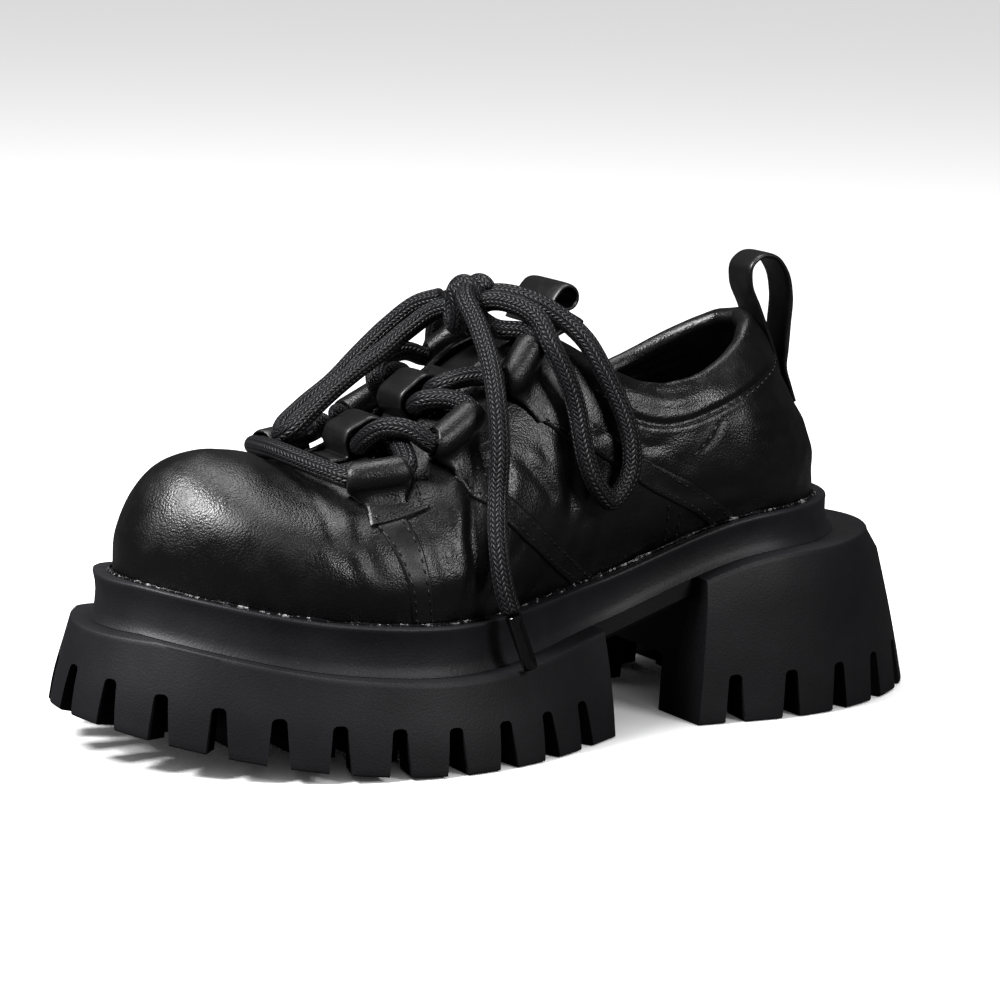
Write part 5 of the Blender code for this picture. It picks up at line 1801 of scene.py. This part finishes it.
    def tip(self, side: str, line: np.ndarray) -> Piece:
        """Aglet: shrunk film crimped round the end of the braid.

        Args:
            side: The side that it hangs on.
            line: Middle line of the cord that it ends.

        Returns:
            The piece.
        """
        width, long = self.aglet
        way = unit(line[-1] - line[-2])
        at, share = np.array([  # mm along the film and share of its width
            (0.0, 0.78), (0.25, 0.97), (0.5, 1.04), (0.8, 1.0), (3.0, 0.98), (6.0, 0.97),
            (10.0, 0.96), (14.0, 0.95), (16.8, 0.95), (17.4, 0.9), (17.8, 0.74), (18.0, 0.5),
        ]).T
        radius = width / 2 * share
        middle = line[-1] + way * GAP + way * (at * long / at[-1])[:, None]
        piece = loft(f"aglet_{side}_film", tube_rings(middle, radius, 24), crease_angle=50)
        return dress(piece, FILM, "aglet", f"aglet_{side}")

    def run_line(self) -> np.ndarray:
        """Middle line from one side of the knot to the other, through every loop and keeper.

        Returns:
            Its points, evenly spaced.
        """
        outer, inner, middle = Side.OUTER, Side.INNER, LAST.centre_line
        through, across = self.through, self.across
        control = np.array([
            *self.start_outer,
            *through(outer, 2, True),
            *across(1, False, outer, [(136.8, 0.90, 4.8)], [(142.6, 0.86, 4.6)]),
            *through(inner, 1, True),
            *across(0, False, inner, [(162.4, 0.85, 5.2)], [(167.0, 0.82, 4.6)]),
            *through(outer, 0, True),
            *self.bar,
            *[(x, 2 * float(middle(x)) - y, z) for x, y, z in self.bar[-2::-1]],
            *through(inner, 0, False),
            *across(
                0, True, inner, [(168.6, 0.82, 4.8)], [(167.0, 0.90, 11.6), (162.2, 0.82, 9.4)]),
            *through(outer, 1, False),
            *across(
                1, True, outer, [(145.6, 0.88, 4.8)], [(144.4, 0.92, 11.8), (138.0, 0.88, 9.8)]),
            *through(inner, 2, False),
            *self.start_inner,
        ], float)
        apart = 0.5  # mm between the points that are eased
        fine = curve_through(control, round(along(control)[-1] / apart))
        half = round(self.bend / apart)
        weights = np.bartlett(2 * half + 3)[1:-1]
        weights /= weights.sum()
        before, after = 2 * fine[0] - fine[half:0:-1], 2 * fine[-1] - fine[-2 : -half - 2 : -1]
        padded = np.concatenate([before, fine, after])
        eased = np.stack([np.convolve(column, weights, "valid") for column in padded.T], 1)
        return resample(eased, round(along(eased)[-1] / self.step))

    def through(self, side: Side, number: int, forward: bool) -> list[np.ndarray]:
        """Control points through one loop, a little beyond both ends.

        Args:
            side: Side of the shoe.
            number: Which loop, from the toe.
            forward: Whether the lace runs towards the toe.

        Returns:
            The points.
        """
        front, back = self.facings.axis(side, number)
        start, end = (back, front) if forward else (front, back)
        way = unit(end - start)
        return [start - way * self.run, start, end, end + way * self.run]

    def across(
        self, keeper: int, ahead: bool, side: Side, start: Points, end: Points
    ) -> list[np.ndarray]:
        """Control points across the tongue under a keeper, from one side to the other.

        Args:
            keeper: Which arch the strand passes under.
            ahead: Whether it lies in the lane nearer the toe.
            side: The side that it comes from.
            start: Places over the facing on that side: top_x, share up the rib, lift.
            end: The same on the other side.

        Returns:
            The points.
        """
        lane = self.tongue.keeper_arc(keeper) + (-self.lane if ahead else self.lane)
        lift, rise = self.diameter / 2 + 0.4, self.edge_rise
        other = Side(-side.value)
        points = [PLAIN.at(side, x, up, high) for x, up, high in start]
        for y, over in ((13.2, rise), (8.0, 0.0), (0.0, 0.0), (-8.0, 0.0), (-13.2, rise)):
            points.append(self.tongue.over(lane, lift + over, side.value * y))
        return points + [PLAIN.at(other, x, up, high) for x, up, high in end]


# ---- upper
@dataclass
class Upper:
    """Leather shell with its padded collar, straps and seams."""

    rim_steps: int = 6
    rim_rise: float = 0.42  # height of the rounded rim, as a share of the wall
    edge_share: float = 0.12  # of an overlay's width, over which its edge is rounded
    thread: tuple[float, float] = (2.3, 0.36)  # length and radius of a stitch
    stitch_step: float = 3.1
    tab_width: float = 13.0
    tab_thick: float = 1.9

    def build(self) -> list[Piece]:
        """Makes and dresses the shell and what is sewn to it."""
        return [self.shell(), *self.straps(), self.seams(), self.heel_loop()]

    def wall(self, up: np.ndarray) -> np.ndarray:
        """Thickness at every station and row: thin, and padded towards the collar's edge."""
        padded = LAST.collar_share()[:, None] * np.clip((up - 0.55) / 0.3, 0, 1)
        return LAST.wall + (LAST.collar_wall - LAST.wall) * padded

    def shell(self) -> Piece:
        """Outer face, rounded rim and lining as one closed skin round the foot.

        Returns:
            The piece.
        """
        up = np.linspace(0, 1, LAST.rows + 1)
        grids = []
        for side in Side:
            skin, normal = LAST.skin[side], LAST.normals[side]
            thick = self.wall(up)
            inner = skin - normal * thick[..., None]
            inner[:, 0, 2] = skin[:, 0, 2]
            middle = (skin[:, -1] + inner[:, -1]) / 2
            rise = unit(skin[:, -1] - skin[:, -4]) * (thick[:, -1:] * self.rim_rise)
            turns = np.linspace(0, math.pi, self.rim_steps + 2)[1:-1]
            out = skin[:, -1] - middle
            rim = np.stack([middle + out * math.cos(t) + rise * math.sin(t) for t in turns], 1)
            rim[LAST.shut] = skin[LAST.shut, -1:] * 0.5 + inner[LAST.shut, -1:] * 0.5
            grids.append(np.concatenate([skin, rim, inner[:, ::-1]], axis=1))
        ring = np.concatenate([grids[0], grids[1][-2:0:-1]])
        piece = loft("leather_shell", ring.transpose(1, 0, 2), capped=False, crease_angle=60)
        return self.line_shell(piece, LAST.rows + self.rim_steps, ring.shape[1])

    def line_shell(self, piece: Piece, outer_rows: int, rows: int) -> Piece:
        """Takes out the doubled wall along the vamp, and gives the shell leather and lining.

        Args:
            piece: The shell.
            outer_rows: Rows of the outer face and the rim.
            rows: All rows of points.

        Returns:
            The shell.
        """
        mesh = piece.data
        points = coordinates(mesh) / MM + LAST.origin
        off_middle = np.abs(points[:, 1] - LAST.centre_line(points[:, 0]))
        doubled = (off_middle < 0.05) & (points[:, 0] > LAST.throat_front)
        with editing(piece):
            bpy.ops.mesh.select_mode(type="FACE")
            bpy.ops.mesh.select_all(action="DESELECT")
        uv = mesh.uv_layers[0].data
        for face in mesh.polygons:
            level = sum(uv[i].uv[1] for i in face.loop_indices) / face.loop_total
            face.material_index = int(level * (rows - 1) > outer_rows)
            in_rim = LAST.rows < level * (rows - 1) < outer_rows + 1
            face.select = in_rim and all(doubled[v] for v in face.vertices)
        bpy.ops.object.mode_set(mode="EDIT")
        bpy.ops.mesh.delete(type="ONLY_FACE")
        bpy.ops.mesh.select_all(action="SELECT")
        bpy.ops.mesh.flip_normals()  # the rings run round the foot with their backs outwards
        bpy.ops.object.mode_set(mode="OBJECT")
        dress(piece, UPPER_LEATHER, "leather", "upper")
        piece.data.materials.append(LINING.material())
        return piece

    def overlay(
        self, name: str, side: Side, left: Points, right: Points, thick: float, finish: Finish
    ) -> Piece:
        """A cut piece of leather laid on the shell between two edges.

        Args:
            name: Name of the piece.
            side: Side of the shoe.
            left: Edge towards the toe: places on the top line and shares up the rib.
            right: The other edge, in the same order.
            thick: How far it stands proud.
            finish: What it is dressed in.

        Returns:
            The piece.
        """
        long, wide, sunk = 90, 19, -0.5
        scale = np.array([1.0, SHARE_MM])
        toe, heel = (
            curve_through(np.array(e) * scale, long)[:, None] / scale for e in (left, right))
        across = 0.5 - 0.5 * np.cos(np.linspace(0, math.pi, wide))
        place = toe * (1 - across[None, :, None]) + heel * across[None, :, None]
        edge = np.clip(np.minimum(across, 1 - across) / self.edge_share, 0, 1)
        step = np.arange(long)
        ends = np.clip(np.minimum(step, long - 1 - step) / 2.0, 0, 1)
        lift = thick * np.sqrt(1 - (1 - edge[None]) ** 2) * (0.3 + 0.7 * ends[:, None]) + 0.05
        top = LAST.at(side, place[..., 0], place[..., 1], lift)
        under = LAST.at(side, place[..., 0], place[..., 1], np.full(lift.shape, sunk))
        rings = np.concatenate([top, under[:, ::-1]], axis=1)
        return dress(loft(name, rings, crease_angle=60), finish, "leather")

    def straps(self) -> list[Piece]:
        """The straps that run from the folded loops down to the feather line.

        Returns:
            The pieces of both sides.
        """
        straps = (  # name, edge towards the toe, edge towards the heel, thickness, finish
            ("strap_1_band",
             [(183.0, 0.52), (180.2, 0.353), (178.0, 0.194), (176.2, 0.0)],
             [(175.0, 0.56), (173.4, 0.40), (172.0, 0.18), (170.0, 0.0)],
             0.45, SMOOTH_LEATHER),
            ("strap_2",
             [(157.6, 0.64), (156.5, 0.584), (152.5, 0.472), (146.9, 0.354), (136.5, 0.189),
              (118.6, 0.0)],
             [(149.8, 0.64), (149.1, 0.597), (143.6, 0.446), (132.1, 0.242), (122.1, 0.131),
              (109.3, 0.0)],
             1.1, STRAP_LEATHER),
            ("strap_3",
             [(131.4, 0.71), (129.3, 0.672), (119.0, 0.538), (111.8, 0.487), (103.1, 0.452),
              (94.3, 0.411), (87.3, 0.337), (81.6, 0.21), (77.5, 0.08), (75.2, 0.0)],
             [(118.6, 0.665), (111.7, 0.61), (105.6, 0.592), (99.6, 0.58), (93.4, 0.56),
              (87.0, 0.50), (81.5, 0.395), (76.6, 0.25), (71.6, 0.11), (68.2, 0.0)],
             1.0, STRAP_LEATHER),
        )
        return [
            self.overlay(f"{name}_{side.tag}", side, *cut)
            for side in Side
            for name, *cut in straps
        ]

    def stitch_frames(self, side: Side, path: Points, lift: float) -> list[np.ndarray]:
        """Middles and half axes of the stitches along a path on one side.

        Args:
            side: Side of the shoe.
            path: Places on the top line and shares up the rib.
            lift: Height over the skin.

        Returns:
            The frames, one for each stitch.
        """
        scale = np.array([1.0, SHARE_MM])
        fine = curve_through(np.array(path) * scale, 200) / scale
        line = LAST.at(side, fine[:, 0], fine[:, 1], lift)
        count = max(3, round(along(line)[-1] / self.stitch_step))
        points = resample(line, count)
        shares, fine_shares = np.linspace(0, 1, count), np.linspace(0, 1, len(fine))
        top_x, up = (np.interp(shares, fine_shares, column) for column in fine.T)
        skin = unit(LAST.at(side, top_x, up, lift + 1.0) - points)
        way = unit(np.gradient(points, axis=0))
        long, radius = self.thread
        normal = unit(skin - way * (skin * way).sum(1, keepdims=True))
        other = np.cross(normal, way)
        return list(np.stack([points, way * long / 2, other * radius, normal * radius], 1))

    def seams(self) -> Piece:
        """Every row of stitches on the leather as one piece.

        Returns:
            The piece.
        """
        frames = []
        rows = [  # path, height over the skin
            ([(182.2, 0.53), (169.2, 0.586)], 1.25), ([(181.6, 0.64), (182.2, 0.53)], 1.35),
            ([(168.6, 0.66), (169.2, 0.586)], 1.35),
            ([(150.6, 0.62), (146.0, 0.452), (134.4, 0.248), (124.3, 0.137), (112.4, 0.01)], 1.15),
            ([(157.4, 0.70), (154.6, 0.584), (150.6, 0.472), (144.6, 0.345), (134.0, 0.18),
              (117.0, 0.01)], 1.15),
            ([(112.6, 0.60), (106.0, 0.577), (99.6, 0.563), (93.8, 0.545), (87.8, 0.487),
              (82.6, 0.385), (77.9, 0.245), (72.9, 0.105), (69.8, 0.01)], 1.05),
            ([(127.6, 0.668), (118.2, 0.556), (111.6, 0.505), (103.1, 0.468), (93.8, 0.425),
              (86.2, 0.348), (80.3, 0.215), (76.2, 0.085), (74.0, 0.01)], 1.05),
            ([(182.0, 0.47), (179.1, 0.353), (176.9, 0.194), (175.1, 0.01)], 0.5),
            ([(175.8, 0.50), (174.5, 0.40), (173.1, 0.18), (171.1, 0.01)], 0.5),
            ([(166.7, 0.96), (160.0, 0.972), (152.8, 0.978)], 0.1),
            ([(146.0, 0.972), (140.0, 0.974), (132.6, 0.978)], 0.1),
            ([(188.0, 0.95), (182.0, 0.965), (172.0, 0.97)], 0.1),
            ([(27.2, 0.775), (48.0, 0.745), (69.0, 0.708), (77.5, 0.69), (83.5, 0.70),
              (93.0, 0.712), (106.0, 0.76)], 0.1),
            ([(69.4, 0.67), (74.0, 0.58), (78.6, 0.515)], 0.1),
            ([(66.9, 0.655), (71.6, 0.562), (76.4, 0.50)], 0.1),
            ([(84.9, 0.25), (84.6, 0.15), (84.2, 0.02)], 0.1),
            ([(82.4, 0.25), (82.2, 0.15), (82.0, 0.02)], 0.1),
        ]
        for side in Side:
            for path, lift in rows:
                frames += self.stitch_frames(side, path, lift)
        return dress(copies("seam_stitches", np.array(frames)), THREAD, "leather")

    def heel_loop(self) -> Piece:
        """Tall pull loop on the back seam, its tail down the counter.

        Returns:
            The piece.
        """
        path = curve_through([
            (9.9, 93.5), (12.0, 99.0), (14.0, 105.0), (13.6, 111.0), (13.1, 119.0), (12.7, 128.6),
            (14.8, 136.6), (19.2, 141.4), (24.4, 142.0), (28.4, 139.0), (28.7, 133.5),
            (25.2, 125.5), (21.4, 117.0), (18.1, 109.0), (16.4, 103.6),
        ], 160)
        line = np.column_stack([path[:, 0], np.zeros(len(path)), path[:, 1]])
        rings = ribbon_rings(line, ACROSS, self.tab_width, self.tab_thick)
        return dress(loft("heel_pull_tab", rings), SMOOTH_LEATHER, "leather", "heel_pull_loop")


# ---- studio
@dataclass
class Studio:
    """Camera, soft lights and floor."""

    azimuth: float = 149.17
    elevation: float = 11.41
    roll: float = 1.39
    distance: float = 1301.6
    stands_at: tuple[float, float, float] = (123.99, 0.0, 60.0)  # the distance is from here
    aim: tuple[float, float, float] = (118.0, 0.0, 68.0)
    lens: float = 148.0
    floor_size: float = 12.0  # m
    floor_glow: float = 0.6  # painted glow that the paper adds for the camera where the shoe does not shade it
    shade_reach: float = 0.3  # m over which the shoe shades that glow
    surround: float = 0.05  # strength of the even light

    def build(self) -> None:
        """Sets up the view, the floor and the light."""
        bpy.context.scene.view_settings.view_transform = "Standard"
        self.camera()
        self.floor()
        self.lights()

    def camera(self) -> None:
        """Camera that looks slightly down at the outer side of the toe."""
        a, e = math.radians(self.azimuth), math.radians(self.elevation)
        offset = Vector((math.sin(a) * math.cos(e), -math.cos(a) * math.cos(e), math.sin(e)))
        place = Vector(to_metres(self.stands_at)) + offset * self.distance * MM
        back = (place - Vector(to_metres(self.aim))).normalized()
        right = (-back).cross(Vector((0, 0, 1))).normalized()
        up = right.cross(-back).normalized()
        turn = math.radians(self.roll)
        rolled_right = right * math.cos(turn) + up * math.sin(turn)
        rolled_up = -right * math.sin(turn) + up * math.cos(turn)
        bpy.ops.object.camera_add()
        camera = bpy.context.active_object
        camera.matrix_world = Matrix((
            (*rolled_right,), (*rolled_up,), (*back,))).transposed().to_4x4()
        camera.location = place
        camera.data.lens = self.lens
        camera.data.sensor_width = 36.0
        bpy.context.scene.camera = camera

    def floor(self) -> None:
        """White floor with a painted glow for the camera, dimmed near the shoe as a painted shadow;
        other rays see it dark grey.
        """
        bpy.ops.mesh.primitive_plane_add(size=self.floor_size, location=(0, 0, -0.0002))
        floor = bpy.context.active_object
        floor.name = "floor"
        paper = bpy.data.materials.new("white_floor")
        paper.use_nodes = True
        shader = paper.node_tree.nodes["Principled BSDF"]
        shader.inputs["Roughness"].default_value = 0.7
        shader.inputs["Specular IOR Level"].default_value = 0.1
        shader.inputs["Emission Color"].default_value = (1.0, 1.0, 1.0, 1.0)
        add = partial(add_node, paper.node_tree)
        seen = add("ShaderNodeLightPath").outputs["Is Camera Ray"]
        tone = add(
            "ShaderNodeMix", {"Factor": seen, 6: linear("#3e3e3e"), 7: linear("#f4f4f4")},
            data_type="RGBA")
        # Painted shadow: the glow is dimmed where the shoe closes off the floor around a point.
        shadow_ao = add("ShaderNodeAmbientOcclusion", {"Distance": self.shade_reach}, samples=8)
        glow = seen
        for factor in (shadow_ao.outputs["AO"], self.floor_glow):
            glow = add("ShaderNodeMath", {0: glow, 1: factor}, operation="MULTIPLY").outputs[0]
        paper.node_tree.links.new(tone.outputs[2], shader.inputs["Base Color"])
        paper.node_tree.links.new(glow, shader.inputs["Emission Strength"])
        floor.data.materials.append(paper)

    def lights(self) -> None:
        """A soft key from the upper left, weaker top and side lights and an even surround."""
        world = bpy.data.worlds.new("surround")
        bpy.context.scene.world = world
        world.use_nodes = True
        tree = world.node_tree
        back = tree.nodes["Background"]
        ray = add_node(tree, "ShaderNodeLightPath")
        strength = add_node(
            tree, "ShaderNodeMapRange",
            {"Value": ray.outputs["Is Camera Ray"], "To Min": self.surround, "To Max": 1.0})
        back.inputs["Color"].default_value = (1.0, 1.0, 1.0, 1.0)
        tree.links.new(strength.outputs[0], back.inputs["Strength"])
        a = math.radians(self.azimuth)
        toward = Vector((math.sin(a), -math.cos(a), 0.0))
        up = Vector((0, 0, 1))
        left = up.cross(toward) * -1
        for name, near, aside, high, size, power in (  # m towards the viewer, left and up; W
            ("key", 0.45, 0.8, 1.1, 0.4, 35.0),
            ("top", -0.3, 0.0, 1.5, 0.7, 12.0),
            ("side", 0.62, -0.76, 0.62, 0.3, 5.8),
        ):
            place = toward * near + left * aside + up * high
            bpy.ops.object.light_add(type="AREA", location=place)
            light = bpy.context.active_object
            light.name = name
            light.data.energy = power
            light.data.size = size
            light.rotation_euler = (place - Vector((0, 0, 0.05))).to_track_quat("Z", "Y").to_euler()


def main() -> None:
    """Builds the shoe piece by piece."""
    logging.basicConfig(level=logging.INFO, format="%(message)s")
    Studio().build()
    tongue, facings = Tongue(), Facings()
    laces = Laces(tongue, facings)
    for part, build in (
        ("laces", laces.build),
        ("sole", Sole().build),
        ("upper", Upper().build),
        ("facings", lambda: facings.build(laces.run_line())),
        ("tongue", tongue.build),
    ):
        for piece in build():
            log.info("%s: %s, %d faces", part, piece.name, len(piece.data.polygons))


if __name__ == "__main__":
    main()
